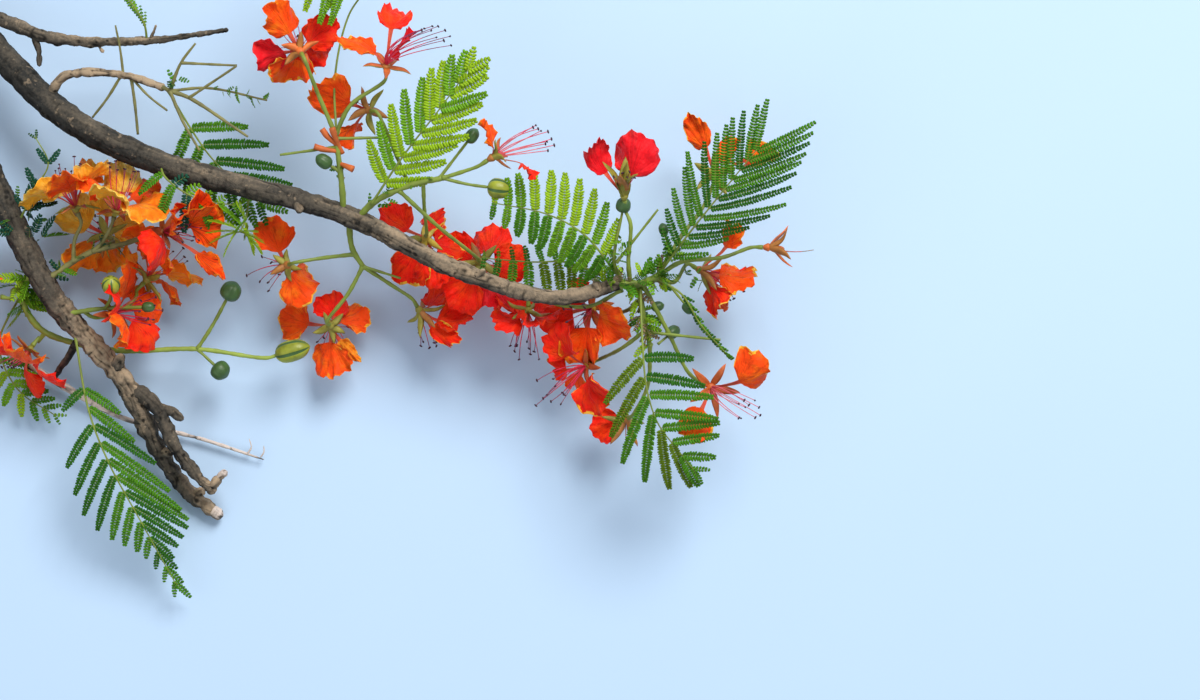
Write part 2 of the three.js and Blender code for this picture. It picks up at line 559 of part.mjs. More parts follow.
// The order matters: what comes later is cut clear of, or kept clear of, what is already in place.
const finish = {};
for (const [name, spec] of Object.entries(LIMBS)) {
  const solid = largest(cutClear(tube(spec), spec.on));
  place(name, solid, tube(spec, GAP));
  finish[name] = COLOURS.bark;
}
for (const [name, spec] of Object.entries(STEMS)) {
  const solid = largest(cutClear(stem(spec), spec.on));
  place(name, solid, stem(spec, GAP));
  finish[name] = name === "twig_dead" ? COLOURS.deadwood : COLOURS.stem;
}
for (const [name, spec] of Object.entries(LEAVES)) {
  place(name, leafStalk(spec));
  finish[name] = COLOURS.leaf;
}
for (const [name, spec] of Object.entries(BLOOMS)) {
  place(name, bloom(spec));
  finish[name] = COLOURS.petal;
}
for (const [name, spec] of Object.entries(LEAVES)) {
  const stalk = placed.get(name).solid;
  placed.delete(name);
  place(name, leaf(spec, stalk));
}

const limb = new THREE.Group();
for (const [name, { solid }] of placed) {
  const { vertProperties, triVerts } = solid.getMesh();
  const geometry = new THREE.BufferGeometry();
  geometry.setAttribute("position", new THREE.BufferAttribute(vertProperties, 3));
  geometry.setIndex(new THREE.BufferAttribute(triVerts, 1));
  geometry.computeVertexNormals();
  const mesh = new THREE.Mesh(geometry, new THREE.MeshStandardMaterial({ ...finish[name], metalness: 0 }));
  mesh.name = name;
  limb.add(mesh);
}

// The whole limb is moved so that its box stands centred on the origin.
const box = new THREE.Box3().setFromObject(limb);
const middle = box.getCenter(new THREE.Vector3());
limb.position.set(-middle.x, -middle.y, -box.min.z);

const cutLimb = new THREE.Group();
cutLimb.add(limb);

export default cutLimb;
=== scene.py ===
"""A cut flowering limb of a flame tree on a pale floor, seen from straight above.

The tables give the limb's plan in millimetres: x runs along the limb towards its flowering tip, y runs
across it and z is the height above the ground, with the datum under the fork where the two boughs part.
Every surface is worked out from them as whole numpy arrays in metres, and is moved from the plan into the
part's own frame when its mesh is made.
"""

import functools
import itertools
import json

import bpy
import numpy as np
from bpy.props import FloatProperty, FloatVectorProperty, PointerProperty
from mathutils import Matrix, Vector


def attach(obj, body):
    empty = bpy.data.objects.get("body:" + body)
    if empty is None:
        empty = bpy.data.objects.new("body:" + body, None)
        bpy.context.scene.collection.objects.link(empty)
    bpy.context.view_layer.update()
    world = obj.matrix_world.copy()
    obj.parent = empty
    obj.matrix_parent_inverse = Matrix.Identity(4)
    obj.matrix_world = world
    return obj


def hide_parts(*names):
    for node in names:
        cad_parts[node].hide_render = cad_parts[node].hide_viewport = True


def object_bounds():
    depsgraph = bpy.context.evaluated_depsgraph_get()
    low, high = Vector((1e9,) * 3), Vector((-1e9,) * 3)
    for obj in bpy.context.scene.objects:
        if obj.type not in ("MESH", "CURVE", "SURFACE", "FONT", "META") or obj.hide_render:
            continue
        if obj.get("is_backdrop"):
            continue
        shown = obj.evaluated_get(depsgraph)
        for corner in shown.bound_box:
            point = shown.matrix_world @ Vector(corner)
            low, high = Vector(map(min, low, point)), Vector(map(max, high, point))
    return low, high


bl_info = {
    "name": "Flame Tree Limb",
    "version": (1, 0, 0),
    "blender": (4, 5, 0),
    "location": "View3D > Sidebar > Flame Tree",
    "description": "Builds the bark, stalks, leaves and flowers of a cut flame tree limb",
    "category": "Add Mesh",
}

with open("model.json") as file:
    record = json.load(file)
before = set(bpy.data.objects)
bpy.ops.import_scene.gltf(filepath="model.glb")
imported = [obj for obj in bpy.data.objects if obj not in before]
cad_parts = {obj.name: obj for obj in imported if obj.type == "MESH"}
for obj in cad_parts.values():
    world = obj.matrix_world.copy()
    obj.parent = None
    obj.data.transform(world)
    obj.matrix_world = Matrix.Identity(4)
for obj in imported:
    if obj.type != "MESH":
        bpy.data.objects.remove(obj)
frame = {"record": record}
CAD_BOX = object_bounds()

MM = 0.001
UP = np.array([0.0, 0.0, 1.0])
SEEDS = {"noise": 11, "bark": 21, "stalks": 33, "leaves": 100, "sprigs": 77}
# Points of a ring of most tubes, and of the lines that no step cuts.
SIDES = {"sawn face": 72, "stalk": 10, "bud": 40, "leaf stalk": 7, "row stalk": 4, "cup": 15, "anther": 6}
POINTS = {"span": 40, "rough": 60, "limb": 200, "limb place": 120, "leaf": 400, "row stalk": 12, "sprigs": 40}

# Woody limbs: the centreline and the radius at its foot and tip. pale and gnarl say how weathered and how
# lumpy the bark is along the limb, and knobs counts its leaf scars.
LIMBS = {
    "butt": dict(
        path=[[-52, 62, 23.6], [-26, 31, 33], [0, 0, 43], [10, -14, 46]], radius=[23, 19], pale=[0.0, 0.0],
        gnarl=[1, 1], knobs=3),
    "bough_main": dict(
        path=[[2, -4, 44], [100, -97, 70], [160, -153, 87], [257, -202, 104], [445, -255, 119],
              [553, -308, 121], [655, -338, 120], [722, -323, 124]], radius=[17, 7.5],
        pale=[-0.2, -0.2, -0.15, 0.0, 0.25, 0.48, 0.6], gnarl=[1, 1, 1.2, 1.4, 1.6, 2.2], knobs=40),
    "bough_second": dict(
        path=[[4, -8, 43], [66, -172, 71], [110, -266, 76], [152, -343, 71], [215, -420, 52],
              [245, -486, 31], [274, -533, 15], [306, -559, 9]], radius=[18, 8.4],
        pale=[-0.35, -0.35, -0.3, -0.2, -0.05, 0.25, 0.75, 0.6, 0.0, 0.9],
        gnarl=[1.2, 1.4, 1.6, 1.8, 2.6, 3.4, 3.6, 3.8], knobs=54),
    "bough_second_fork": dict(
        path=[[226, -428, 50], [252, -452, 50], [265, -484, 47], [280, -507, 42], [301, -528, 38],
              [313, -519, 38]], radius=[9, 5.2], pale=[0.3, -0.05, 0.1, 0.2, 1.0], gnarl=[3, 3.6, 4],
        knobs=18),
    "bough_upper": dict(
        path=[[38, -38, 58], [100, -58, 78], [148, -77, 95], [238, -82, 106], [330, -71, 111]],
        radius=[9, 2.6], pale=[0.0, 0.1, 0.45, 0.2, -0.05], gnarl=[1.6, 2.6, 3.4], knobs=30),
    "twig_middle": dict(
        path=[[146, -134, 84], [160, -118, 93], [176, -113, 99], [222, -115, 106], [267, -129, 110]],
        radius=[5.6, 4], pale=[0.6, 1.0, 0.9], gnarl=[2.4, 2.8], knobs=12),
}

# Short broken ends and spurs, on the limbs that they name. STUB_BARK is what they have in common.
STUBS = [
    dict(on="bough_second_fork", path=[[250, -448, 50], [264, -452, 52], [277, -461, 52]],
        radius=[5.4, 4.8], pale=[-0.1, 0.3]),
    dict(on="bough_second_fork", path=[[292, -520, 40], [304, -534, 36], [306, -537, 35]],
        radius=[5.2, 4.6], pale=[0.1, 0.6]),
    dict(on="bough_upper", path=[[132, -74, 90], [137, -90, 92], [138, -106, 93]], radius=[4.4, 2.6],
        pale=[-0.1, -0.1]),
    dict(on="bough_upper", path=[[250, -82, 106], [256, -72, 112], [258, -66, 113]], radius=[2.6, 1.8]),
    dict(on="bough_upper", path=[[196, -81, 101], [202, -90, 102], [204, -93, 102]], radius=[2.8, 2.0]),
    dict(on="bough_main", path=[[394, -240, 116], [402, -250, 128], [404, -254, 131]], radius=[5.6, 3.8],
        pale=[-0.1, 0.2]),
    dict(on="bough_main", path=[[575, -318, 124], [584, -312, 131], [586, -311, 133]], radius=[5.0, 3.4]),
    dict(on="bough_main", path=[[700, -332, 124], [696, -322, 134], [695, -319, 136]], radius=[4.4, 3.4],
        pale=[0.9, 1.1]),
    dict(on="bough_main", path=[[714, -326, 125], [720, -312, 131], [722, -308, 133]], radius=[4.6, 3.2],
        pale=[0.9, 1.1]),
    dict(on="bough_second", path=[[207, -408, 56], [216, -398, 70], [219, -395, 73]], radius=[8.0, 5.6]),
    dict(on="bough_second", path=[[250, -496, 28], [262, -494, 40], [265, -494, 43]], radius=[6.6, 4.6]),
    dict(on="bough_second", path=[[284, -542, 13], [290, -534, 20], [291, -533, 22]], radius=[6.4, 4.8]),
    dict(on="bough_second", path=[[299, -553, 11], [307, -559, 10.6], [312, -561, 10]], radius=[8, 6.2],
        pale=[0.5, 1.0], finish="bleached_bark"),
    dict(on="bough_second_fork", path=[[309, -521, 38], [316, -516, 38.6], [320, -514, 39]],
        radius=[5.4, 4.2], pale=[0.5, 1.0], finish="bleached_bark"),
]

STUB_BARK = dict(pale=[0.3, 0.9], gnarl=[3, 4], knobs=3)

# The dead twig: a short dark spur and a long bleached one with a split tip.
DEAD_TWIGS = [
    dict(path=[[170, -380, 58], [160, -396, 48], [148, -409, 34], [139, -419, 21]], radius=[4.4, 3.6],
        pale=[0.02, 0.05]),
    dict(path=[[74, -380, 26], [138, -420, 20], [207, -459, 13], [291, -482, 10], [354, -503, 9]],
        radius=[5, 1.4], pale=[1.0, 1.1, 1.2], finish="bleached_bark"),
    dict(path=[[336, -498, 9.4], [341, -490, 12], [339, -481, 14]], radius=[1.2, 0.5], pale=[0.9, 0.9],
        finish="bleached_bark"),
    dict(path=[[350, -501, 9], [354, -495, 12], [354, -488, 13]], radius=[1.0, 0.5], pale=[0.9, 0.9],
        finish="bleached_bark"),
]

DEAD_BARK = dict(gnarl=[1.4, 2], knobs=6, relief=0.5)

# Green stems: stalks that may end under a flower or carry a bud of the given radius. stretch is how long
# the bud is beside others, and ripe marks one that is about to open. A stalk without a radius has
# FLOWER_STALK_RADIUS.
STEMS = {
    "stalks_bare": [
        dict(path=[[262, -127, 110], [272, -132, 114], [291, -139, 114], [350, -178, 118]],
            radius=[2.6, 1.3]),
        dict(path=[[272, -132, 114], [284, -105, 122], [299, -86, 126]], radius=[2, 1.2]),
        dict(path=[[284, -105, 122], [340, -108, 126]], radius=[1.6, 1.2]),
        dict(path=[[291, -139, 114], [340, -109, 130]], radius=[1.6, 1.2]),
        dict(path=[[272, -132, 114], [286, -162, 128], [304, -193, 132]], radius=[2, 1.2]),
        dict(path=[[272, -132, 114], [310, -129, 110], [368, -141, 108]], radius=[1.8, 1]),
        dict(path=[[224, -114, 105], [222, -90, 112], [218, -67, 116]], radius=[1.5, 1]),
        dict(path=[[222, -116, 105], [207, -138, 98], [191, -157, 92]], radius=[1.7, 1.2]),
        dict(path=[[232, -118, 105], [235, -145, 100], [237, -174, 94]], radius=[1.8, 1.4]),
        dict(path=[[232, -118, 106], [250, -137, 106], [268, -151, 104]], radius=[1.5, 1.1]),
    ],
    "raceme_left": [
        dict(path=[[143, -318, 76], [187, -292, 82], [222, -283, 84]], radius=[3.4, 2.6],
            flower="bloom_left_wide"),
        dict(path=[[170, -302, 80], [172, -280, 86]], flower="bloom_left_top"),
        dict(path=[[190, -291, 82], [200, -282, 88]], flower="bloom_left_crown"),
        dict(path=[[196, -290, 82], [200, -284, 72]], flower="bloom_left_back"),
    ],
    "raceme_left_low": [
        dict(path=[[158, -354, 74], [202, -348, 79], [240, -347, 82]], radius=[3, 1.8], bud=5),
        dict(path=[[202, -348, 79], [209, -339, 92], [211, -330, 102]], radius=[2, 1.6], bud=8,
            stretch=0.85, ripe=True),
        dict(path=[[180, -351, 76], [186, -356, 72]], radius=[2.2, 1.8], flower="bloom_left_low"),
        dict(path=[[222, -348, 80], [232, -336, 72]], radius=[2.2, 1.8], flower="bloom_left_inner"),
    ],
    "raceme_buds": [
        dict(path=[[130, -312, 68], [112, -325, 58], [118, -352, 50], [135, -372, 44], [205, -390, 46],
                   [291, -389, 53], [362, -398, 56], [373, -395, 57]], radius=[4, 2.1], bud=11, stretch=1.2,
            ripe=True),
        dict(path=[[291, -389, 53], [307, -365, 57], [322, -338, 60]], radius=[2.2, 1.8], bud=9,
            stretch=0.85, finish="stalk"),
        dict(path=[[291, -389, 53], [309, -406, 52]], radius=[1.8, 1.5], bud=8.5, stretch=0.78,
            finish="stalk"),
        dict(path=[[112, -325, 58], [104, -330, 56]], flower="bloom_far_left"),
        dict(path=[[135, -372, 44], [126, -382, 40]], flower="bloom_low_left"),
    ],
    "raceme_top": [
        dict(path=[[445, -254, 118], [445, -230, 134], [440, -178, 150]], radius=[3.6, 2.8]),
        dict(path=[[440, -178, 150], [424, -140, 160]], radius=[2.6, 1.8], flower="bloom_top_left"),
        dict(path=[[440, -178, 150], [456, -150, 162]], radius=[2.6, 1.8], flower="bloom_top_right"),
        dict(path=[[441, -190, 146], [385, -198, 148]], radius=[1.8, 1.3]),
        dict(path=[[440, -182, 148], [498, -180, 140]], radius=[1.8, 1.3]),
        dict(path=[[443, -214, 140], [434, -208, 144]], radius=[1.8, 1.5], bud=6.5),
    ],
    "raceme_middle": [
        dict(path=[[458, -260, 119], [478, -243, 135], [512, -228, 146], [545, -221, 150]],
            radius=[3.8, 2.8]),
        dict(path=[[545, -221, 150], [568, -214, 154]], flower="bloom_stamens"),
        dict(path=[[545, -221, 150], [570, -227, 150], [591, -230, 150]], radius=[1.9, 1.5], bud=9,
            stretch=0.92, ripe=True),
        dict(path=[[542, -221, 150], [570, -185, 152]], radius=[1.8, 1.4], bud=6),
        dict(path=[[512, -228, 146], [500, -200, 142]], radius=[2.2, 1.7], flower="bloom_fading"),
        dict(path=[[526, -226, 147], [526, -250, 128]], radius=[2.2, 1.8], flower="bloom_behind_left"),
        dict(path=[[502, -233, 143], [540, -268, 124]], flower="bloom_behind_right"),
    ],
    "raceme_hanging": [
        dict(path=[[450, -259, 114], [452, -288, 98], [462, -306, 90]], radius=[3.6, 2.8]),
        dict(path=[[462, -306, 90], [492, -326, 76]], flower="bloom_low_right"),
        dict(path=[[462, -306, 90], [446, -334, 80]], flower="bloom_low_wide"),
        dict(path=[[455, -294, 95], [420, -298, 92]], flower="bloom_low_orange"),
        dict(path=[[462, -306, 90], [500, -318, 88]], radius=[1.8, 1.2]),
    ],
    "shoot_tip": [
        dict(path=[[714, -325, 123], [740, -324, 128], [758, -317, 132]], radius=[5, 3.4]),
        dict(path=[[730, -324, 126], [728, -302, 140], [730, -266, 152]], radius=[2.6, 1.9],
            flower="bloom_wings"),
        dict(path=[[722, -322, 126], [714, -302, 142], [722, -254, 152]], radius=[2, 1.4], bud=6.5,
            stretch=0.88),
        dict(path=[[716, -304, 142], [757, -252, 154]], radius=[1.6, 1.2]),
        dict(path=[[756, -318, 131], [780, -278, 116], [803, -247, 104]], radius=[2.6, 1.9],
            flower="bloom_under_leaf"),
        dict(path=[[756, -318, 131], [780, -303, 128], [822, -298, 123]], radius=[2.6, 1.9],
            flower="calyx_spent"),
        dict(path=[[752, -320, 130], [774, -322, 116]], radius=[2.6, 1.9], flower="bloom_nodding"),
        dict(path=[[742, -324, 126], [768, -372, 106], [790, -414, 88]], radius=[2.6, 1.9],
            flower="bloom_right"),
        dict(path=[[738, -326, 122], [744, -360, 110], [750, -386, 100]], radius=[3.4, 2.6]),
        dict(path=[[746, -372, 106], [820, -380, 112]], radius=[1.8, 1.4]),
        dict(path=[[746, -370, 107], [722, -388, 92]], flower="bloom_under_middle"),
        dict(path=[[750, -384, 101], [748, -426, 80]], flower="bloom_under_low"),
        dict(path=[[741, -342, 116], [722, -352, 92]], flower="bloom_under_near"),
        dict(path=[[722, -330, 116], [690, -346, 100], [660, -345, 94]], flower="bloom_ring"),
        dict(path=[[744, -350, 112], [752, -348, 112]], radius=[1.4, 1.2], bud=4.8),
        dict(path=[[758, -384, 106], [768, -376, 100]], radius=[1.4, 1.2], bud=6),
        dict(path=[[758, -317, 132], [768, -290, 142], [764, -276, 144]], radius=[1.5, 1.2], bud=4.5),
        dict(path=[[766, -322, 124], [784, -344, 118]], radius=[1.5, 1.2], bud=5),
    ],
}

# Flowers: at is the foot of the receptacle, faces the way that the flower faces and top the way that its
# upper petal stands. tints names the colours of the five petals from the upper one round, with a dot for a
# petal that is missing, and the numbers 0 to 4 stand for those petals. open and opens say how far they
# open, breadths, claws and limbs how broad they are and how long their claws and limbs are beside others,
# turns how many degrees they stand out of turn, and bends their angles along them. sepals is how far the
# sepals bend back, in degrees, sepal_length and sepal_breadth their size beside others, calyx their outside
# and inside their upper side. rods counts the stamens, rod_length is their length beside others, rods_pink
# marks sunlit ones and sweep is where they lean. A flower with a style has no other rod left.
BLOOMS = {
    "bloom_left_top": dict(
        at=[176, -252, 92], faces=[-0.3, 0.85, 0.1], top=[-0.9, -0.2, 0.4], opens={1: 0.8, 3: 0.75},
        tints="gvgog"),
    "bloom_left_crown": dict(
        at=[214, -256, 98], faces=[0.3, 0.8, 0.3], top=[0.8, -0.2, 0.5], opens={2: 0.75, 4: 0.8},
        tints="ovgvg"),
    "bloom_left_back": dict(at=[202, -276, 56], faces=[-0.4, 0.3, -0.6], top=[0.1, 0.9, 0], tints="ggoog"),
    "bloom_left_wide": dict(
        at=[258, -272, 88], faces=[0.62, 0.1, 0.6], top=[0.2, 0.9, 0], breadths={1: 0.6, 3: 0.4},
        opens={0: 0.46, 1: 0.55, 2: 0.9, 3: 0.66, 4: 0.4}, claws={0: 1.5, 3: 2.3, 4: 1.6}, turns={4: 15},
        sepals=74, calyx="brown", tints="fvsff"),
    "bloom_left_inner": dict(
        at=[238, -322, 62], faces=[0.5, 0.6, -0.4], top=[0.8, -0.3, 0.2], tints="ovovv"),
    "bloom_left_low": dict(
        at=[204, -355, 72], faces=[0.85, 0.2, 0.4], top=[0.2, 0.9, 0], opens={0: 0.7, 1: 0.8, 4: 0.75},
        tints="vsvsv"),
    "bloom_low_left": dict(
        at=[122, -386, 46], faces=[-0.5, -0.7, 0.3], top=[0.8, -0.4, 0.2], rod_length=0.6, tints="svs.s"),
    "bloom_far_left": dict(at=[92, -336, 58], faces=[-0.9, 0.1, 0.2], top=[0.1, 0.9, 0.3], tints="vovsv"),
    "bloom_top_left": dict(
        at=[408, -100, 166], faces=[-0.3, 0.5, -0.7], top=[-0.5, 0.8, 0.3], claws={1: 0.7, 2: 0.7},
        breadths={0: 0.75}, limbs={1: 0.9, 2: 0.9, 4: 0.8}, turns={1: 22, 2: 8, 4: -16}, sepal_length=0.85,
        calyx="rust", sepals=80, tints="vssrc"),
    "bloom_top_right": dict(
        at=[491, -117, 172], faces=[0.1, 0.75, 0.55], top=[-0.9, 0.3, 0], breadths={0: 0.5, 3: 0.3, 4: 0.8},
        claws={0: 0.8, 3: 0.5, 4: 1.8}, opens={0: 1.05, 3: 0.5}, limbs={3: 0.9, 4: 0.9}, turns={4: -12},
        calyx="brown", sweep=[1.2, -0.25, 0], tints="r..cs"),
    "bloom_fading": dict(
        at=[474, -154, 140], faces=[-0.55, 0.2, -0.7], top=[-0.9, 0.3, 0.2], limbs={0: 1.1, 4: 0.8},
        turns={4: -26}, calyx="brown", rod_length=0.5, tints="v...v"),
    "bloom_stamens": dict(
        at=[590, -204, 160], faces=[0.82, 0.5, 0.15], top=[-0.4, 0.8, 0.2], breadths={0: 0.35, 2: 0.5},
        claws={0: 0.5, 2: 1.6}, limbs={0: 0.8, 2: 0.6}, sepals=62, calyx="brown", sweep=[0.3, 0.1, 0],
        rod_length=0.95, rods_pink=True, tints="v.s.."),
    "bloom_behind_left": dict(
        at=[526, -276, 100], faces=[-0.1, -0.2, -0.8], top=[1, 0.05, 0], calyx="yellow",
        opens={0: 0.7, 2: 0.8, 4: 0.8}, claws={3: 1.3}, breadths={4: 0.6}, turns={2: -20, 4: 12}, sepals=70,
        tints="esese"),
    "bloom_behind_right": dict(
        at=[578, -300, 86], faces=[0.15, -0.25, -0.9], top=[0.1, 1, 0], tints="sscss"),
    "bloom_low_right": dict(
        at=[515, -346, 66], faces=[0.35, -0.6, -0.6], top=[0.9, 0.1, 0.3], breadths={1: 0.5},
        turns={1: -34}, sepals=70, sepal_length=1.2, tints="se..s"),
    "bloom_low_wide": dict(
        at=[426, -364, 66], faces=[0.1, -0.25, -0.85], top=[0.9, 0.4, 0], sepal_length=0.85,
        opens={1: 0.8, 2: 0.7}, breadths={1: 0.35}, limbs={0: 0.85, 1: 0.8, 3: 0.9, 4: 0.7},
        claws={0: 0.9, 3: 2.4, 4: 0.8}, turns={0: -24, 2: -25, 3: 12}, sepals=66, tints="rovrs"),
    "bloom_low_orange": dict(
        at=[388, -304, 88], faces=[-0.45, -0.1, -0.8], top=[-0.2, 0.9, 0], claws={2: 0.6},
        breadths={2: 1.15}, sepals=76, sepal_length=0.8, calyx="brown", tints="v.r.."),
    "bloom_ring": dict(
        at=[628, -346, 86], faces=[-0.1, -0.9, -0.4], top=[0, -0.3, 0.9], open=1.25,
        limbs={0: 0.6, 1: 0.8, 4: 0.7}, claws={0: 0.6, 1: 0.5, 4: 0.5}, tints="sssss"),
    "bloom_wings": dict(
        at=[724, -243, 160], faces=[-0.05, 0.8, 0.6], top=[-0.62, 0.4, -0.6],
        bends={0: [58, 50, 2, -16], 4: [20, 34, 34, 60]}, breadths={0: 0.46, 4: 0.86}, limbs={4: 1.22},
        claws={0: 1.4}, sepals=30, sepal_length=1.85, inside="sepal_olive", sepal_breadth=1.5, rods=7,
        rod_length=0.6, rods_pink=True, tints="c...c"),
    "bloom_under_leaf": dict(
        at=[814, -216, 98], faces=[0, 0.35, -0.85], top=[-0.5, 0.8, 0.3], breadths={0: 0.5, 1: 0.6, 2: 0.7},
        opens={1: 0.6, 2: 1.15}, claws={0: 1.5, 2: 2.3}, limbs={1: 0.75}, turns={0: 6, 2: -30},
        tints="rvr.."),
    "calyx_spent": dict(
        at=[862, -288, 120], faces=[0.95, 0, 0.1], top=[0, 0.9, 0.2], style=True, sepals=58,
        sepal_length=1.4, calyx="rust", sweep=[0, 0.3, 0], tints="....."),
    "bloom_nodding": dict(
        at=[796, -308, 98], faces=[0.75, -0.35, -0.5], top=[0.1, 0.9, 0.3], claws={0: 1.7},
        breadths={0: 0.6}, opens={0: 1.35, 1: 0.62, 2: 0.6, 3: 0.6, 4: 0.5}, limbs={0: 0.8, 2: 0.8},
        turns={1: -25, 4: 25}, sepals=66, sepal_length=1.2, calyx="brown", tints="vreve"),
    "bloom_right": dict(
        at=[811, -427, 84], faces=[0.15, -0.1, 0.9], top=[0.84, 0.54, 0], open=0.92, claws={0: 2.0, 3: 1.7},
        turns={0: -3, 3: -12}, breadths={3: 0.72}, sepals=84, sepal_length=1.25, calyx="rust",
        sweep=[1.0, -0.4, -0.3], rod_length=0.85, rods_pink=True, tints="r..r."),
    "bloom_under_near": dict(
        at=[694, -348, 66], faces=[-0.35, -0.1, 0.8], top=[-0.9, -0.25, 0], limbs={4: 0.7}, claws={4: 0.5},
        calyx="yellow", tints="svv.s"),
    "bloom_under_middle": dict(
        at=[690, -404, 66], faces=[-0.62, -0.3, 0.6], top=[-0.3, 0.9, 0.1], opens={2: 1.2},
        limbs={1: 0.6, 2: 0.6}, claws={2: 0.6}, calyx="yellow", sweep=[-0.2, -0.3, 0.1], tints="seve."),
    "bloom_under_low": dict(
        at=[729, -459, 58], faces=[-0.4, -0.35, -0.85], top=[-0.9, -0.3, 0.3], opens={0: 0.66},
        limbs={0: 0.8}, breadths={0: 1.15}, claws={0: 0.5}, turns={0: 10}, calyx="brown", sepals=84,
        sepal_length=1.2, style=True, rod_length=0.8, sweep=[-0.1, -0.7, 0], tints="s...."),
}

# Petal tints: the finish of the petal's limb and of its margin.
MISSING = "."
TINTS = {
    "s": ("scarlet", "scarlet"),
    "e": ("scarlet", "gold"),
    "r": ("vermilion", "gold"),
    "v": ("vermilion", "orange"),
    "o": ("orange", "gold"),
    "g": ("gold", "cream"),
    "c": ("crimson", "pink"),
    "f": ("fiery", "orange"),
}

# The two finishes that the outside of a flower's sepals are dealt.
CALYX_FINISHES = {
    "olive": ["sepal_olive", "sepal_brown"], "brown": ["sepal_brown", "sepal_olive"],
    "yellow": ["sepal_yellow", "sepal_olive"], "rust": ["sepal_rust", "sepal_brown"],
}

# Compound leaves: the stalk's line, the pairs of leaflet rows, their length to the left and right of the
# stalk, their angle from it, the blade's roll about it and the tones that the rows are dealt. leans gives
# the share of the angle at the first and the last pair, skew turns the right rows out and the left ones in
# by so many degrees there, and fan turns the rows round the stalk. bare is the share of the stalk before
# the first pair. first and last are how long the first and last rows are, taper draws in both ends, and
# lost names the pairs without a right row. slim and fill say how wide the rows and leaflets are beside
# others, and folded how far the leaflets have opened.
LEAVES = {
    "leaf_bright": dict(
        path=[[474, -246, 136], [507, -200, 160], [544, -155, 178], [573, -117, 190]], pairs=10,
        rows=[50, 52], angle=50, roll=8, tones="lllf", slim=1.0, fill=1.16),
    "leaf_left_upper": dict(
        path=[[716, -314, 132], [684, -276, 148], [649, -257, 154], [594, -245, 150]], pairs=10,
        rows=[40, 44], angle=90, roll=-14, tones="fm", right_tones="lf", fill=1.1, leans=[1.0, 1.0],
        skew=[-29, 0]),
    "leaf_left_lower": dict(
        path=[[718, -324, 118], [670, -303, 108], [630, -302, 104], [582, -298, 104]], pairs=9,
        rows=[34, 18], angle=90, roll=10, tones="mod", leans=[1.0, 1.0], skew=[-23, 0]),
    "leaf_tip_right": dict(
        path=[[757, -317, 132], [784, -280, 156], [815, -241, 184], [851, -197, 212]], pairs=12,
        rows=[64, 78], angle=54, roll=12, last=0.75, first=0.45, tones="mdm", slim=0.8),
    "leaf_tip_low": dict(
        path=[[740, -328, 124], [742, -385, 146], [746, -428, 146], [757, -462, 138], [777, -489, 126],
              [794, -510, 116]], pairs=8, rows=[62, 72], angle=68, roll=10, bare=0.36, last=0.25,
        tones="mdm", leans=[1.0, 0.42], skew=[-21, -18], right_tones="om"),
    "leaf_slender": dict(
        path=[[756, -319, 131], [781, -335, 130], [800, -365, 124], [825, -393, 118]], pairs=8,
        rows=[11, 11], angle=16, roll=30, bare=0.3, folded=0.3, last=0.8, tones="md"),
    "leaf_hanging": dict(
        path=[[170, -374, 72], [185, -451, 78], [205, -504, 76], [233, -560, 62], [267, -630, 34]],
        pairs=13, rows=[84, 60], angle=44, bare=0.2, last=0.26, tones="mmdd", leans=[1.2, 0.5], skew=[8, 8],
        taper=3.4, lost=[1], slim=0.75),
    "leaf_behind_bough": dict(
        path=[[268, -130, 106], [290, -168, 96], [308, -195, 86], [332, -220, 82], [358, -243, 84]],
        pairs=6, rows=[66, 52], angle=56, bare=0.3, tones="md"),
    "leaf_over_bough": dict(
        path=[[262, -204, 110], [268, -218, 122], [296, -238, 120], [336, -246, 108]], pairs=6,
        rows=[34, 36], angle=80, tones="mbf"),
    "leaf_dark": dict(
        path=[[116, -260, 82], [136, -228, 102], [150, -204, 110], [138, -178, 114]], pairs=4,
        rows=[18, 18], angle=60, roll=20, folded=0.6, tones="b"),
    "leaf_young": dict(
        path=[[350, -229, 106], [346, -256, 96], [342, -270, 108], [340, -274, 132]], pairs=6,
        rows=[28, 30], angle=88, roll=-80, fan=165, bare=0.5, folded=0.34, last=0.95, tones="llf"),
    "leaf_top": dict(
        path=[[441, -182, 150], [438, -120, 134], [452, -60, 140], [486, -14, 168], [478, 8, 176],
              [440, 14, 180], [412, 12, 182]], pairs=5, rows=[88, 60], angle=82, bare=0.78,
        leans=[1.1, 0.95], last=0.6, tones="lff"),
    "leaf_far_left": dict(
        path=[[114, -330, 56], [88, -384, 44], [104, -430, 30], [142, -458, 20]], pairs=8, rows=[26, 24],
        angle=66, bare=0.4, folded=0.8, tones="lfm", slim=0.8),
    "leaf_sprig": dict(
        path=[[248, -82, 106], [247, -66, 118], [238, -50, 126], [226, -34, 132]], pairs=8, rows=[13, 13],
        angle=18, roll=10, bare=0.3, folded=0.35, last=0.8, tones="mf"),
}
# What a leaf has where its own entry says nothing.
LEAF_BARE = 0.16
LEAF_LAST_ROW = 0.4
LEAF_LEANS = (1.1, 0.5)
LEAF_SLIM = 0.85
# Where the last pair stands on the stalk, and the first pair on the half wave of the rows' lengths.
LEAF_END = 0.985
LEAF_FIRST_ROW = 0.24
# A row's droop and bend over its length, and its greatest width in metres, beside the room for it and
# beside its length.
ROW_DROOP = 0.16
ROW_BEND = 0.1
ROW_WIDTH = 0.011
ROW_FILL = 0.84
ROW_STOUT = 0.4

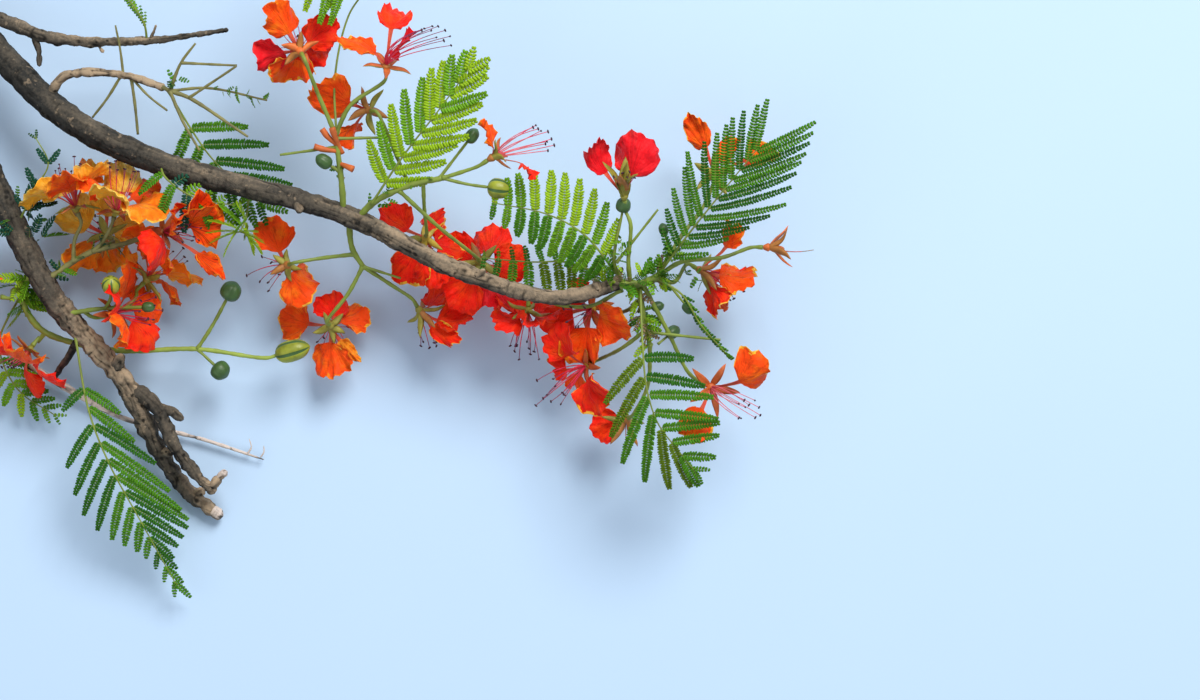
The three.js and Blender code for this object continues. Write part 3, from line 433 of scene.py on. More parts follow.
# Young sprigs in tufts: the stalk that they stand on and its radius, their count, lengths and tones.
SPRIGS = [
    dict(path=[[700, -326, 126], [730, -322, 130], [764, -314, 133]], radius=3.4, count=90, lengths=[6, 17],
        tones="lfmmy"),
    dict(path=[[704, -318, 132], [716, -304, 142], [722, -280, 148]], radius=2.2, count=26, lengths=[6, 14],
        tones="lfm"),
    dict(path=[[757, -317, 133], [772, -296, 146], [780, -284, 152]], radius=1.8, count=22, lengths=[5, 12],
        tones="fm"),
    dict(path=[[756, -318, 132], [790, -314, 126], [804, -320, 104]], radius=2.2, count=14, lengths=[4, 10],
        tones="md"),
    dict(path=[[736, -332, 120], [744, -360, 110], [749, -384, 101]], radius=2.6, count=46, lengths=[6, 15],
        tones="lfmy"),
    dict(path=[[310, -129, 111], [340, -135, 110], [366, -141, 109]], radius=0.8, count=16, lengths=[4, 9],
        tones="fm"),
    dict(path=[[445, -240, 128], [441, -190, 146]], radius=2.6, count=9, lengths=[5, 9], tones="my"),
    dict(path=[[470, -250, 128], [512, -228, 146], [545, -221, 150]], radius=2.6, count=9, lengths=[5, 11],
        tones="m"),
    dict(path=[[262, -128, 110], [274, -131, 114], [284, -112, 120]], radius=2.0, count=12, lengths=[6, 12],
        tones="mb"),
    dict(path=[[143, -318, 77], [187, -292, 83], [214, -285, 85]], radius=2.6, count=16, lengths=[7, 15],
        tones="mb"),
    dict(path=[[132, -300, 80], [118, -262, 80], [110, -240, 76]], radius=16, count=26, lengths=[9, 24],
        tones="mbb"),
    dict(path=[[130, -312, 68], [112, -325, 58], [118, -352, 50]], radius=3.4, count=38, lengths=[9, 25],
        tones="lfm"),
]

# f and d are painted light and painted shade: the leaflets' green made lighter for rows in the light and
# darker for rows in the shade.
LEAF_TONES = {"l": "leaf_light", "f": "leaf_fresh", "m": "leaf_middle", "d": "leaf_deep", "b": "leaf_blue",
              "o": "leaf_olive"}
TONES = {**LEAF_TONES, "y": "dry"}


# Arithmetic on whole arrays

def plan(values):
    """Table values in millimetres, as metres."""
    return np.asarray(values, float) * MM


def mix(first, last, share):
    return first + (last - first) * share


def unit(vectors):
    return vectors / np.maximum(np.linalg.norm(vectors, axis=-1, keepdims=True), 1e-12)


def steps(count):
    return np.linspace(0.0, 1.0, count)


def spread_over(values, share):
    """Values that stand evenly from 0 to 1, read at the given shares."""
    return np.interp(share, steps(len(values)), values)


def turns(count):
    """Equal turns round a circle, in radians."""
    return np.arange(count) * 2 * np.pi / count


def around(side, other, turn):
    """Directions at the given turns from one direction, towards another that is square to it."""
    return side * np.cos(turn)[..., None] + other * np.sin(turn)[..., None]


LATTICE_SIZE = 32
LATTICE = np.random.default_rng(SEEDS["noise"]).random((LATTICE_SIZE,) * 3)


def noise(points, size):
    """Smooth noise from -1 to 1.

    Random values stand at the corners of cells of the given size, and are blended by 3t squared less 2t
    cubed along each axis.
    """
    cell = points / size
    whole = np.floor(cell).astype(int)
    part = cell - whole
    part = part * part * (3 - 2 * part)
    total = 0.0
    for corner in itertools.product((0, 1), repeat=3):
        weight = np.prod(np.where(corner, part, 1 - part), axis=-1)
        x, y, z = np.moveaxis((whole + corner) % LATTICE_SIZE, -1, 0)
        total = total + weight * LATTICE[x, y, z]
    return 2 * total - 1


def smooth_line(points, count):
    """A smooth curve through the points, cut into pieces of one length.

    Each span is a cubic. Its end slopes weigh the neighbouring spans by the square roots of their lengths,
    and the row of points is carried on past each end by a mirror point.
    """
    points = np.asarray(points, float)
    points = np.vstack([2 * points[0] - points[1], points, 2 * points[-1] - points[-2]])
    root = np.linalg.norm(np.diff(points, axis=0), axis=1)[:, None, None] ** 0.5
    before, start, end, after = (points[k:len(points) - 3 + k][:, None] for k in range(4))
    first, here, last = root[:-2], root[1:-1], root[2:]
    leave = here * ((start - before) / first - (end - before) / (first + here)) + (end - start)
    arrive = here * ((after - end) / last - (after - start) / (here + last)) + (end - start)
    t = np.linspace(0.0, 1.0, POINTS["span"], endpoint=False)[:, None]
    fine = start + leave * t + (3 * (end - start) - 2 * leave - arrive) * t**2
    fine = fine + (2 * (start - end) + leave + arrive) * t**3
    fine = np.vstack([fine.reshape(-1, 3), points[-2]])
    reach = np.append(0.0, np.cumsum(np.linalg.norm(np.diff(fine, axis=0), axis=1)))
    at = steps(count) * reach[-1]
    return np.stack([np.interp(at, reach, fine[:, k]) for k in range(3)], axis=-1)


def length_of(line):
    return np.linalg.norm(np.diff(line, axis=0), axis=1).sum()


def across(lines, reference=None):
    """Two directions square to each line, and the direction along it.

    The first is square to a reference direction, which is by default the one that the line turns about.
    """
    along = unit(np.gradient(lines, axis=-2))
    if reference is None:
        reference = np.linalg.svd(along.reshape(-1, 3))[2][-1]
    side = unit(np.cross(along, reference))
    return side, np.cross(along, side), along


def tube_rings(lines, radii, sides, reference=None):
    """Rings of points round each line: its middle, plus the radius times cosine and sine of equal turns."""
    side, other, _ = across(lines, reference)
    out = around(side[..., None, :], other[..., None, :], turns(sides))
    return lines[..., None, :] + out * np.asarray(radii)[..., None, None]


# Surfaces, each as points, quads, triangles and the UVs of their corners

def tubes(rings, starts, ends):
    """Closed skins over rings, whose axes are skin, ring, side and coordinate.

    Quads join neighbouring rings, and a fan of triangles closes each end at its point.
    """
    skins, count, sides = rings.shape[:3]
    points = np.concatenate([rings.reshape(skins, -1, 3), starts[:, None], ends[:, None]], axis=1)
    side = np.arange(sides)
    after = (side + 1) % sides
    low = np.arange(count - 1)[:, None] * sides
    quads = np.stack([low + side, low + after, low + sides + after, low + sides + side], -1).reshape(-1, 4)
    foot, tip = np.full(sides, count * sides), np.full(sides, count * sides + 1)
    last = (count - 1) * sides
    fans = np.concatenate([np.stack([after, side, foot], -1), np.stack([last + side, last + after, tip], -1)])
    u = np.stack([side, side + 1, side + 1, side], -1) / sides
    v = (np.arange(count - 1)[:, None, None] + [0, 0, 1, 1]) / (count - 1)
    quad_uv = np.stack(np.broadcast_arrays(u[None], v), -1).reshape(-1, 4, 2)
    foot_uv = np.stack([np.stack([side + 1, side, side + 0.5], -1) / sides, np.zeros((sides, 3))], -1)
    tip_uv = np.stack([np.stack([side, side + 1, side + 0.5], -1) / sides, np.ones((sides, 3))], -1)
    return repeat_skins(points, quads, fans, quad_uv, np.concatenate([foot_uv, tip_uv]))


def blades(middle, depth):
    """Closed thin blades over grids, whose axes are blade, row, column and coordinate.

    The upper and lower face stand half the depth off the middle grid along its normal, and meet at its rim.
    """
    count, rows, columns = middle.shape[:3]
    normal = unit(np.cross(np.gradient(middle, axis=2), np.gradient(middle, axis=1)))
    inner = np.zeros((rows, columns), bool)
    inner[1:-1, 1:-1] = True
    rise = normal * depth / 2 * inner[..., None]
    upper = np.arange(rows * columns).reshape(rows, columns)
    lower = upper.copy()
    lower[inner] = rows * columns + np.arange(inner.sum())
    points = np.concatenate([(middle + rise).reshape(count, -1, 3), (middle - rise)[:, inner]], axis=1)

    def corners(index):
        return np.stack([index[:-1, :-1], index[:-1, 1:], index[1:, 1:], index[1:, :-1]], -1).reshape(-1, 4)

    u, v = np.meshgrid(steps(columns), steps(rows))
    uv = np.stack([corners(u), corners(v)], -1)
    quads = np.concatenate([corners(upper), corners(lower)[:, ::-1]])
    no_fans = np.zeros((0, 3), int)
    return repeat_skins(points, quads, no_fans, np.concatenate([uv, uv[:, ::-1]]), np.zeros((0, 3, 2)))


def repeat_skins(points, quads, triangles, quad_uv, triangle_uv):
    """One skin's faces repeated for each set of points, with their numbers moved on past the sets before."""
    skins, block = points.shape[:2]
    offset = np.arange(skins)[:, None, None] * block
    return {
        "points": points.reshape(-1, 3),
        "quads": (quads + offset).reshape(-1, 4),
        "triangles": (triangles + offset).reshape(-1, 3),
        "quad_uv": np.tile(quad_uv, (skins, 1, 1)),
        "triangle_uv": np.tile(triangle_uv, (skins, 1, 1)),
    }


def eggs(centres, directions, halves, radii, profile, sides, reference=UP):
    """Closed eggs: rings stand at places along a direction, and each pole is a half length from the centre.

    profile holds each ring's place as a share of the half length, and its radius as a share of the egg's.
    """
    place, girth = np.asarray(profile, float).T
    directions = unit(directions)
    side = unit(np.cross(directions, reference))
    other = np.cross(directions, side)
    out = around(side[:, None], other[:, None], turns(sides))
    middle = centres[:, None] + directions[:, None] * (place * halves[:, None])[..., None]
    rings = middle[:, :, None] + out[:, None] * (girth * radii[:, None])[..., None, None]
    reach = directions * halves[:, None]
    return tubes(rings, centres - reach, centres + reach)


class Skin:
    """Surfaces gathered for one mesh, with a finish for each face and any values for each point."""

    def __init__(self):
        self.finishes = []
        self.parts = []

    def number(self, finish):
        """A finish's place among the mesh's own, which it joins at its first use."""
        if finish not in self.finishes:
            self.finishes.append(str(finish))
        return self.finishes.index(finish)

    def add(self, surface, finish, **values):
        """Takes a finish's name, or an array of numbers of finishes for the quads and then the triangles."""
        split = len(surface["quads"])
        if isinstance(finish, str):
            finish = np.full(split + len(surface["triangles"]), self.number(finish))
        finishes = {"quad_finish": finish[:split], "triangle_finish": finish[split:]}
        self.parts.append({**surface, **finishes, **values})

    def joined(self, *keys):
        """What the parts hold under the keys, one key after another."""
        return [part[key] for key in keys for part in self.parts]

    def build(self, name, slot, nodes=(), attributes=()):
        """Makes the mesh and its object, moved from the plan into the part's frame, and ties it to the frame.

        What would dip into the ground lies down on it: the last 2 mm fall off by an exponential, and never
        reach 0.
        """
        blocks = np.cumsum([0] + [len(part["points"]) for part in self.parts])
        quads = np.concatenate([part["quads"] + first for part, first in zip(self.parts, blocks)])
        triangles = np.concatenate([part["triangles"] + first for part, first in zip(self.parts, blocks)])
        corners = np.concatenate([quads.ravel(), triangles.ravel()])
        starts = np.append(np.arange(len(quads)) * 4, len(quads) * 4 + np.arange(len(triangles)) * 3)
        points = np.concatenate(self.joined("points")) + DATUM
        low = points[:, 2] < GROUND
        points[low, 2] = GROUND * np.exp(points[low, 2] / GROUND - 1)
        mesh = bpy.data.meshes.new(name)
        mesh.vertices.add(len(points))
        mesh.vertices.foreach_set("co", points.astype(np.float32).ravel())
        mesh.loops.add(len(corners))
        mesh.loops.foreach_set("vertex_index", corners.astype(np.int32))
        mesh.polygons.add(len(starts))
        mesh.polygons.foreach_set("loop_start", starts.astype(np.int32))
        finish = np.concatenate(self.joined("quad_finish", "triangle_finish"))
        mesh.polygons.foreach_set("material_index", finish.astype(np.int32))
        mesh.polygons.foreach_set("use_smooth", np.ones(len(starts), bool))
        uv = np.concatenate([uv.ravel() for uv in self.joined("quad_uv", "triangle_uv")])
        mesh.uv_layers.new(name="UVMap").data.foreach_set("uv", uv.astype(np.float32))
        for key in attributes:
            values = np.concatenate(self.joined(key)).astype(np.float32)
            mesh.attributes.new(key, "FLOAT", "POINT").data.foreach_set("value", values)
        mesh.update(calc_edges=True)
        if mesh.validate():
            raise RuntimeError(f"{name} had faulty faces")
        for finish_name in self.finishes:
            mesh.materials.append(bpy.data.materials[finish_name])
        piece = link_object(name, mesh)
        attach(piece, "root")
        if nodes:
            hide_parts(*nodes)


def link_object(name, data):
    """A new object of the scene that holds a mesh, a light or a camera."""
    thing = bpy.data.objects.new(name, data)
    bpy.context.scene.collection.objects.link(thing)
    return thing


# The plan's datum in the part's frame, and the height above the ground where things start to lie down.
DATUM = np.array(frame["record"]["mounts"][0]["pos_m"]) - plan(LIMBS["butt"]["path"][0])
GROUND = 0.002


# Finishes

class Nodes:
    """A material's node tree, with a short way to add a node and tie its inputs."""

    def __init__(self, name, roughness, **sockets):
        if name in bpy.data.materials:
            raise RuntimeError(f"the name {name} is taken")
        material = bpy.data.materials.new(name)
        material.use_nodes = True
        self.tree = material.node_tree
        self.shader = self.tree.nodes["Principled BSDF"]
        for socket, value in {"Roughness": roughness, **sockets}.items():
            self.shader.inputs[socket.replace("_", " ")].default_value = value

    def add(self, kind, settings=(), **inputs):
        node = self.tree.nodes.new(kind)
        for key, value in dict(settings).items():
            setattr(node, key, value)
        for key, value in inputs.items():
            self.put(node.inputs[key.replace("_", " ")], value)
        return node

    def put(self, socket, value):
        if isinstance(value, bpy.types.NodeSocket):
            self.tree.links.new(value, socket)
        else:
            socket.default_value = value

    def coordinates(self, source, scale=(1, 1, 1)):
        """Object coordinates or the piece's UV map, stretched by a scale."""
        origin = self.add("ShaderNodeTexCoord").outputs[source]
        return self.add("ShaderNodeMapping", Vector=origin, Scale=scale).outputs["Vector"]

    def attribute(self, name):
        """A value that the mesh holds for each point."""
        return self.add("ShaderNodeAttribute", {"attribute_name": name}).outputs["Fac"]

    def noise(self, vector, scale, detail=3.0):
        return self.add("ShaderNodeTexNoise", Vector=vector, Scale=scale, Detail=detail).outputs["Fac"]

    def streaks(self, scale, detail):
        """Noise drawn on the UV map, stretched by a scale."""
        return self.noise(self.coordinates("UV", scale), 1, detail)

    def between(self, value, low, high):
        """The value's place between two limits, from 0 to 1."""
        return self.add("ShaderNodeMapRange", Value=value, From_Min=low, From_Max=high).outputs["Result"]

    def blend(self, share, first, second):
        """A colour between two others."""
        node = self.add("ShaderNodeMix", {"data_type": "RGBA"})
        self.put(node.inputs["Factor"], share)
        self.put(node.inputs[6], first)
        self.put(node.inputs[7], second)
        return node.outputs[2]

    def reckon(self, operation, first, second):
        node = self.add("ShaderNodeMath", {"operation": operation})
        self.put(node.inputs[0], first)
        self.put(node.inputs[1], second)
        return node.outputs[0]

    def sum(self, first, second):
        return self.reckon("ADD", first, second)

    def times(self, value, factor):
        return self.reckon("MULTIPLY", value, factor)

    def finish(self, colour, height, depth, strength):
        """Ties the colour and a bump of the given height pattern to the shader."""
        self.put(self.shader.inputs["Base Color"], colour)
        bump = self.add("ShaderNodeBump", Height=height, Distance=depth, Strength=strength)
        self.put(self.shader.inputs["Normal"], bump.outputs["Normal"])


def shade(colour, factor):
    return tuple(min(1.0, c * factor) for c in colour[:3]) + (1.0,)


def bark_finish(name, dark, middle, pale):
    """Bark from dark to pale by how weathered it is and by painted light on its lit side, with lichen and
    fine grain, and with painted shade in its furrows.
    """
    nodes = Nodes(name, 0.93, Specular_IOR_Level=0.2)
    place = nodes.coordinates("Object")
    mottle = nodes.noise(place, scale=340, detail=5)
    tone = nodes.sum(nodes.attribute("pale"), nodes.times(nodes.between(mottle, 0.3, 0.7), 0.3))
    colour = nodes.blend(nodes.between(tone, 0.0, 0.55), dark, middle)
    colour = nodes.blend(nodes.between(tone, 0.55, 1.2), colour, pale)
    lichen = nodes.between(nodes.noise(place, scale=130, detail=2), 0.64, 0.7)
    colour = nodes.blend(nodes.times(lichen, 0.4), colour, pale)
    # Painted shade: the bark darkens where the relief value is low, in its furrows, wrinkles and scar pits
    # and on its side away from the light.
    furrows = nodes.between(nodes.attribute("relief"), 0.75, 0.2)
    colour = nodes.blend(nodes.times(furrows, 0.9), colour, shade(dark, 0.3))
    grain = nodes.sum(nodes.noise(place, scale=900, detail=4), mottle)
    nodes.finish(colour, grain, depth=0.0012, strength=0.8)


def sawn_finish(name, colour):
    """Sawn wood: rings round the pith, drawn on a flat UV map in metres, with saw marks across."""
    nodes = Nodes(name, 0.8, Specular_IOR_Level=0.2)
    face = nodes.coordinates("UV")
    settings = {"wave_type": "RINGS", "rings_direction": "Z"}
    rings = nodes.add("ShaderNodeTexWave", settings, Vector=face, Scale=110, Distortion=2.2).outputs["Fac"]
    marks = nodes.streaks((120, 1800, 1), detail=2)
    tone = nodes.sum(rings, nodes.between(marks, 0.2, 0.8))
    wood = nodes.blend(nodes.between(tone, 0.2, 1.8), shade(colour, 0.62), colour)
    nodes.finish(wood, marks, depth=0.0006, strength=0.5)


def mottled_finish(name, colour, roughness, size, depth, contrast, **sockets):
    """A plain skin: its colour wavers by noise of the given size, with fine relief of the given depth."""
    nodes = Nodes(name, roughness, **sockets)
    place = nodes.coordinates("Object")
    tone = nodes.between(nodes.noise(place, 1 / size), 0.3, 0.7)
    skin = nodes.blend(tone, shade(colour, 1 - contrast), shade(colour, 1 + contrast * 0.6))
    nodes.finish(skin, nodes.noise(place, 6 / size), depth, strength=0.5)


def petal_finish(name, colour, glow, streaks=0.0):
    """Silky petal that turns to a warmer colour in places, as a painted glow of light shining through it.

    Veins, creases and lines fan out along the UV map, and crinkles lie all over. The veins are darker, and
    the crinkles' hollows and the creases are painted darker as shade. streaks is how dark the lines are that
    run up from the claw, as on a petal's back.
    """
    nodes = Nodes(name, 0.5, Specular_IOR_Level=0.12, Sheen_Weight=0.04, Subsurface_Weight=0.15,
                  Subsurface_Radius=(0.003, 0.001, 0.0005))
    place = nodes.coordinates("Object")
    veins = nodes.streaks((34, 2.2, 1), detail=2)
    crinkle = nodes.noise(place, scale=260)
    # Painted glow: patches of the warmer colour, as light shining through the petal.
    painted_glow = nodes.between(nodes.noise(place, scale=62, detail=2), 0.45, 0.7)
    base = nodes.blend(nodes.times(painted_glow, 0.75), colour, glow)
    # Darker along the veins, and painted shade in the crinkles' hollows.
    tone = nodes.sum(nodes.between(veins, 0.25, 0.75), nodes.between(crinkle, 0.2, 0.8))
    skin = nodes.blend(nodes.between(tone, 0.9, 0.2), base, shade(colour, 0.64))
    lines = nodes.between(nodes.streaks((46, 1.4, 1), detail=1), 0.56, 0.62)
    skin = nodes.blend(nodes.times(lines, streaks), skin, shade(colour, 0.25))
    # Painted shade in the creases.
    creases = nodes.streaks((15, 3, 1), detail=3)
    skin = nodes.blend(nodes.times(nodes.between(creases, 0.44, 0.34), 0.5), skin, shade(colour, 0.5))
    relief = nodes.sum(nodes.sum(veins, crinkle), nodes.times(creases, 2.0))
    nodes.finish(skin, relief, depth=0.0016, strength=0.75)


# Plain skins: the colour, the roughness, the size of the mottle, the depth of the relief and the contrast.
SKINS = {
    "stalk": ("stalk", 0.5, 0.02, 0.0003, 0.3),
    "stalk_old": ("stalk_old", 0.6, 0.012, 0.0003, 0.4),
    "stalk_bright": ("stalk_bright", 0.5, 0.02, 0.0003, 0.3),
    "stalk_rust": ("rust", 0.6, 0.01, 0.0003, 0.3),
    "dry": ("dry", 0.8, 0.006, 0.0003, 0.4),
    "bud": ("bud", 0.42, 0.009, 0.0005, 0.26),
    "bud_ripe": ("bud_ripe", 0.42, 0.014, 0.0005, 0.5),
    "sepal_inside": ("rust", 0.55, 0.008, 0.0004, 0.3),
    "sepal_olive": ("sepal_olive", 0.55, 0.008, 0.0004, 0.3),
    "sepal_brown": ("sepal_brown", 0.55, 0.008, 0.0004, 0.3),
    "sepal_yellow": ("sepal_yellow", 0.55, 0.008, 0.0004, 0.3),
    "filament_pink": ("filament_pink", 0.45, 0.01, 0.0001, 0.2),
    "filament": ("filament", 0.45, 0.01, 0.0001, 0.2),
    "filament_dark": ("filament_dark", 0.45, 0.01, 0.0001, 0.2),
    "anther": ("anther", 0.7, 0.002, 0.0002, 0.3),
}
SEPAL_RUST_BRIGHTNESS = 1.25

# The warmer colour that each petal finish turns to in places, as a painted glow of light shining through the
# petal.
GLOWS = {
    "scarlet": "vermilion", "vermilion": "orange", "orange": "gold", "gold": "cream", "cream": "gold",
    "crimson": "pink", "pink": "scarlet", "claw": "pink",
}


def make_finishes(colours):
    bark_finish("weathered_bark", colours.bark_dark, colours.bark_middle, colours.bark_pale)
    bark_finish("bleached_bark", colours.bark_middle, colours.bark_pale, colours.bleached)
    sawn_finish("sawn_wood", colours.sawn_wood)
    for name, (colour, *numbers) in SKINS.items():
        mottled_finish(name, getattr(colours, colour), *numbers)
    mottled_finish("sepal_rust", shade(colours.rust, SEPAL_RUST_BRIGHTNESS), 0.55, 0.008, 0.0004, 0.4)
    for name in LEAF_TONES.values():
        mottled_finish(name, getattr(colours, name), 0.5, 0.01, 0.0002, 0.2, Specular_IOR_Level=0.14)
    for name, glow in GLOWS.items():
        petal_finish(name, getattr(colours, name), getattr(colours, glow))
    petal_finish("fiery", colours.vermilion, colours.orange, streaks=0.8)


# Bark

# The distance between two rings of the bark's skin, and between two points of a ring.
RING_STEP = 0.0015
SIDE_STEP = 0.0018
# The sizes of the bark's patterns, in metres, and the turn of the knuckles' sine for each metre.
SWELL_SIZE = 0.019
LUMP_SIZE = 0.0085
FURROW_SIZE = 0.0056
WRINKLE_SIZE = 0.0048
PLATE_SIZE = 0.0035
GRAIN_SIZE = 0.0019
KNUCKLE_TURN = 195
KNUCKLE_WAVER_SIZE = 0.02
PATCH_SIZE = 0.03
SPOT_SIZE = 0.009
STREAK_SIZE = 0.0036
RELIEF_DEPTH = 0.0008


def bark_relief(coil, radius, gnarl, scars, roughness):
    """How far the bark stands off the limb and how bright it is, from straightened places.

    Their third number runs along the limb. Slow swells and lumps carry lengthwise furrows and wrinkles
    across, both where stretched noise is near nothing, with plates and grain between. A scar is a wide bump
    less a narrow pit. Knuckles, the size of a sine that wavers along the limb, have creases between them,
    and grow with its gnarl. The brightness is painted shade and light: darker in the furrows, wrinkles
    and scars' pits, and lighter on the plates and round each scar's rim.
    """
    waver = 2.2 * noise(coil + 9, KNUCKLE_WAVER_SIZE)
    knuckles = np.abs(np.sin(coil[..., 2] * KNUCKLE_TURN + waver)) - 0.65
    swell = noise(coil, SWELL_SIZE) * 0.085 + gnarl * noise(coil + 7, LUMP_SIZE) * 0.06
    swell = (swell + (gnarl - 1) * 0.055 * knuckles) * radius
    furrows = np.exp(-((noise(coil * [1, 1, 0.3], FURROW_SIZE) / 0.16) ** 2))
    wrinkles = np.exp(-((noise(coil * [0.3, 0.3, 1] + 3, WRINKLE_SIZE) / 0.13) ** 2))
    plates = noise(coil * [1, 1, 0.5], PLATE_SIZE)
    surface = 0.4 * plates + 0.25 * noise(coil, GRAIN_SIZE) - 0.8 * furrows - 0.55 * wrinkles
    lift = swell + surface * RELIEF_DEPTH * roughness
    # Painted shade and light: darker where the surface sinks, lighter where it rises.
    tone = 0.8 + 0.5 * surface
    for place, size in scars:
        near = (((coil - place) / size) ** 2).sum(-1)
        lift = lift + size * (0.45 * np.exp(-near) - 0.42 * np.exp(-near * 5))
        # Painted light round the scar's rim and painted shade in its pit.
        tone = tone + 0.25 * np.exp(-((near - 1) ** 2) * 4) - 0.9 * np.exp(-near * 4)
    return lift, np.clip(tone, 0, 1)


def bark_paleness(coil, pale):
    """How weathered the bark is: what the limb has there, with patches, spots and lengthwise streaks."""
    patches = noise(coil + 5, PATCH_SIZE) * 0.22 + noise(coil * [1, 1, 0.5], SPOT_SIZE) * 0.16
    return pale + patches + noise(coil * [1, 1, 0.14], STREAK_SIZE) * 0.22


# The radii of scars, the bark's mean radius and its least one at an end beside the limb's, and the tone
# there.
SCAR_SIZES = (0.002, 0.0046)
BARK_FIT = 0.965
END_GIRTH = 0.12
END_TONE = 0.6
# Painted light and shade on the bark: the way that its lit side faces, and how much paler and brighter it is
# painted there, and as much darker on the side away.
PAINTED_LIGHT_WAY = np.array([0.1, 0.8, 0.6])
PAINTED_LIGHT_PALE = 0.34
PAINTED_LIGHT_TONE = 0.16


def scar_places(count, foot, tip, length, start, rng):
    """Scars at random along and round a limb: their straightened places, with their radii."""
    places = []
    for _ in range(count):
        at, angle = rng.random() ** 0.8, rng.random() * 2 * np.pi
        radius = mix(foot, tip, at)
        place = np.array([radius * np.cos(angle), radius * np.sin(angle), at * length + start])
        places.append((place, min(radius * 0.5, rng.uniform(*SCAR_SIZES))))
    return places


def bark_tube(spec, rng, rounded):
    """A limb's skin: rings whose radius tapers evenly, pushed out and in by the bark's relief.

    Both ends are rounded over the length of a radius, by the circle's own formula, unless the foot is a
    sawn face. Light and shade are painted on: the bark grows paler and brighter by the cosine of its angle
    from its lit side, and darker on the side away.
    """
    path, (foot, tip) = plan(spec["path"]), plan(spec["radius"])
    length = length_of(smooth_line(path, POINTS["limb"]))
    count = int(length / RING_STEP) + 2
    sides = max(12, int(2 * np.pi * foot / SIDE_STEP))
    line = smooth_line(path, count)
    share = steps(count)
    radius = mix(foot, tip, share)[:, None]
    turn = turns(sides)
    start = rng.random() * 3
    straight = share[:, None] * length + start
    coil = np.stack(np.broadcast_arrays(radius * np.cos(turn), radius * np.sin(turn), straight), -1)
    scars = scar_places(spec["knobs"], foot, tip, length, start, rng)
    gnarl = spread_over(spec["gnarl"], share)[:, None]
    lift, tone = bark_relief(coil, radius, gnarl, scars, spec.get("relief", 1) * gnarl**0.3)
    from_foot = share * length / foot if rounded else np.ones(count)
    away = np.minimum(from_foot, (1 - share) * length / tip)
    cap = np.sqrt(1 - (1 - np.clip(away, 0.0, 1.0)) ** 2)[:, None]
    full = (radius * BARK_FIT + lift) * np.maximum(cap, END_GIRTH)
    out = tube_rings(line, np.ones(count), sides) - line[:, None]
    # Painted light and shade: paler and brighter on the side that faces the light, darker on the side away.
    painted_light = out @ PAINTED_LIGHT_WAY
    pale = bark_paleness(coil, spread_over(spec["pale"], share)[:, None]) + PAINTED_LIGHT_PALE * painted_light
    tone = np.clip(tone + PAINTED_LIGHT_TONE * painted_light, 0, 1)
    # The relief value holds the painted shade of the furrows and the painted light and shade of the sides;
    # pale holds the weathering and the painted light and shade of the sides.
    values = {"relief": np.append(tone, [END_TONE, END_TONE]), "pale": np.append(pale, pale[[0, -1], 0])}
    return tubes((line[:, None] + out * full[..., None])[None], line[:1], line[-1:]), values


# The sawn end's rings from the pith out: their radius beside the whole, and their depth behind the face.
# The face stands a little proud of the bark's end, and is a little narrower than the limb.
SAWN_PROFILE = [[0.12, 0.0], [0.3, 0.0], [0.5, 0.0], [0.7, 0.0], [0.9, 0.0], [0.97, 0.0], [0.985, 0.0006],
                [0.97, 0.002], [0.93, 0.004]]
SAWN_PROUD = 0.0012
SAWN_FIT = 0.985


def sawn_face(spec):
    """The butt's flat cut: rings that shrink to the pith, just proud of the bark's end, as a shallow drum.

    Its outline is a circle with two sines round it, and its UV map is the flat face in metres.
    """
    line = smooth_line(plan(spec["path"]), POINTS["rough"])
    side, other, along = (directions[0] for directions in across(line))
    turn = turns(SIDES["sawn face"])
    wobble = 1 + 0.02 * np.sin(3 * turn + 1) + 0.012 * np.sin(7 * turn)
    share, depth = np.array(SAWN_PROFILE).T[..., None]
    radius = share * wobble * spec["radius"][0] * MM * SAWN_FIT
    rings = line[0] + radius[..., None] * around(side, other, turn) + (depth - SAWN_PROUD)[..., None] * along
    surface = tubes(rings[None], line[:1] - SAWN_PROUD * along, line[:1] + depth.max() * along)
    corner = surface["points"] - line[0]
    face = np.stack([corner @ side, corner @ other], -1)
    surface["quad_uv"] = face[surface["quads"]]
    surface["triangle_uv"] = face[surface["triangles"]]
    even = np.full(len(corner), 0.5)
    return surface, {"relief": even, "pale": even}


def add_bark(skin, spec, rng, rounded=True):
    surface, values = bark_tube(spec, rng, rounded)
    skin.add(surface, spec.get("finish", "weathered_bark"), **values)


def make_boughs():
    rng = np.random.default_rng(SEEDS["bark"])
    for name, spec in LIMBS.items():
        skin = Skin()
        add_bark(skin, spec, rng, rounded=name != "butt")
        for stub in STUBS:
            if stub["on"] == name:
                add_bark(skin, {**STUB_BARK, **stub}, rng)
        if name == "butt":
            surface, values = sawn_face(spec)
            skin.add(surface, "sawn_wood", **values)
        skin.build(f"{name}_bark", "bark", [name], ["relief", "pale"])
    skin = Skin()
    for spec in DEAD_TWIGS:
        add_bark(skin, {**DEAD_BARK, **spec}, rng)
    skin.build("twig_dead_bark", "bark", ["twig_dead"], ["relief", "pale"])


# Stalks and buds

STALK_STEP = 0.002
STALK_FIT = 0.94
# The swells along a stalk: their height beside its radius, and their turn for each metre.
STALK_SWELLS = ((0.07, 260), (0.05, 730))
# The flares at a stalk's foot and under a flower: their size beside the radius, and their length.
FOOT_FLARE = 0.35
FOOT_FLARE_LENGTH = 0.003
FLOWER_FLARE = 0.5
FLOWER_FLARE_LENGTH = 0.005
# A flower stalk's radii, and how far before the flower's foot it meets its axis and ends, in millimetres.
FLOWER_STALK_RADIUS = [2.4, 1.8]
FLOWER_STALK_APPROACH = 11.2
FLOWER_STALK_GAP = 0.3
# Half a bud's length beside its radius, and how far its middle stands from the stalk's end beside that.
BUD_LENGTH = 1.5
BUD_SEAT = 0.8
# A bud's length and girth beside those of its solid, which is coarser.
BUD_SHAPE = (0.93, 1.1)
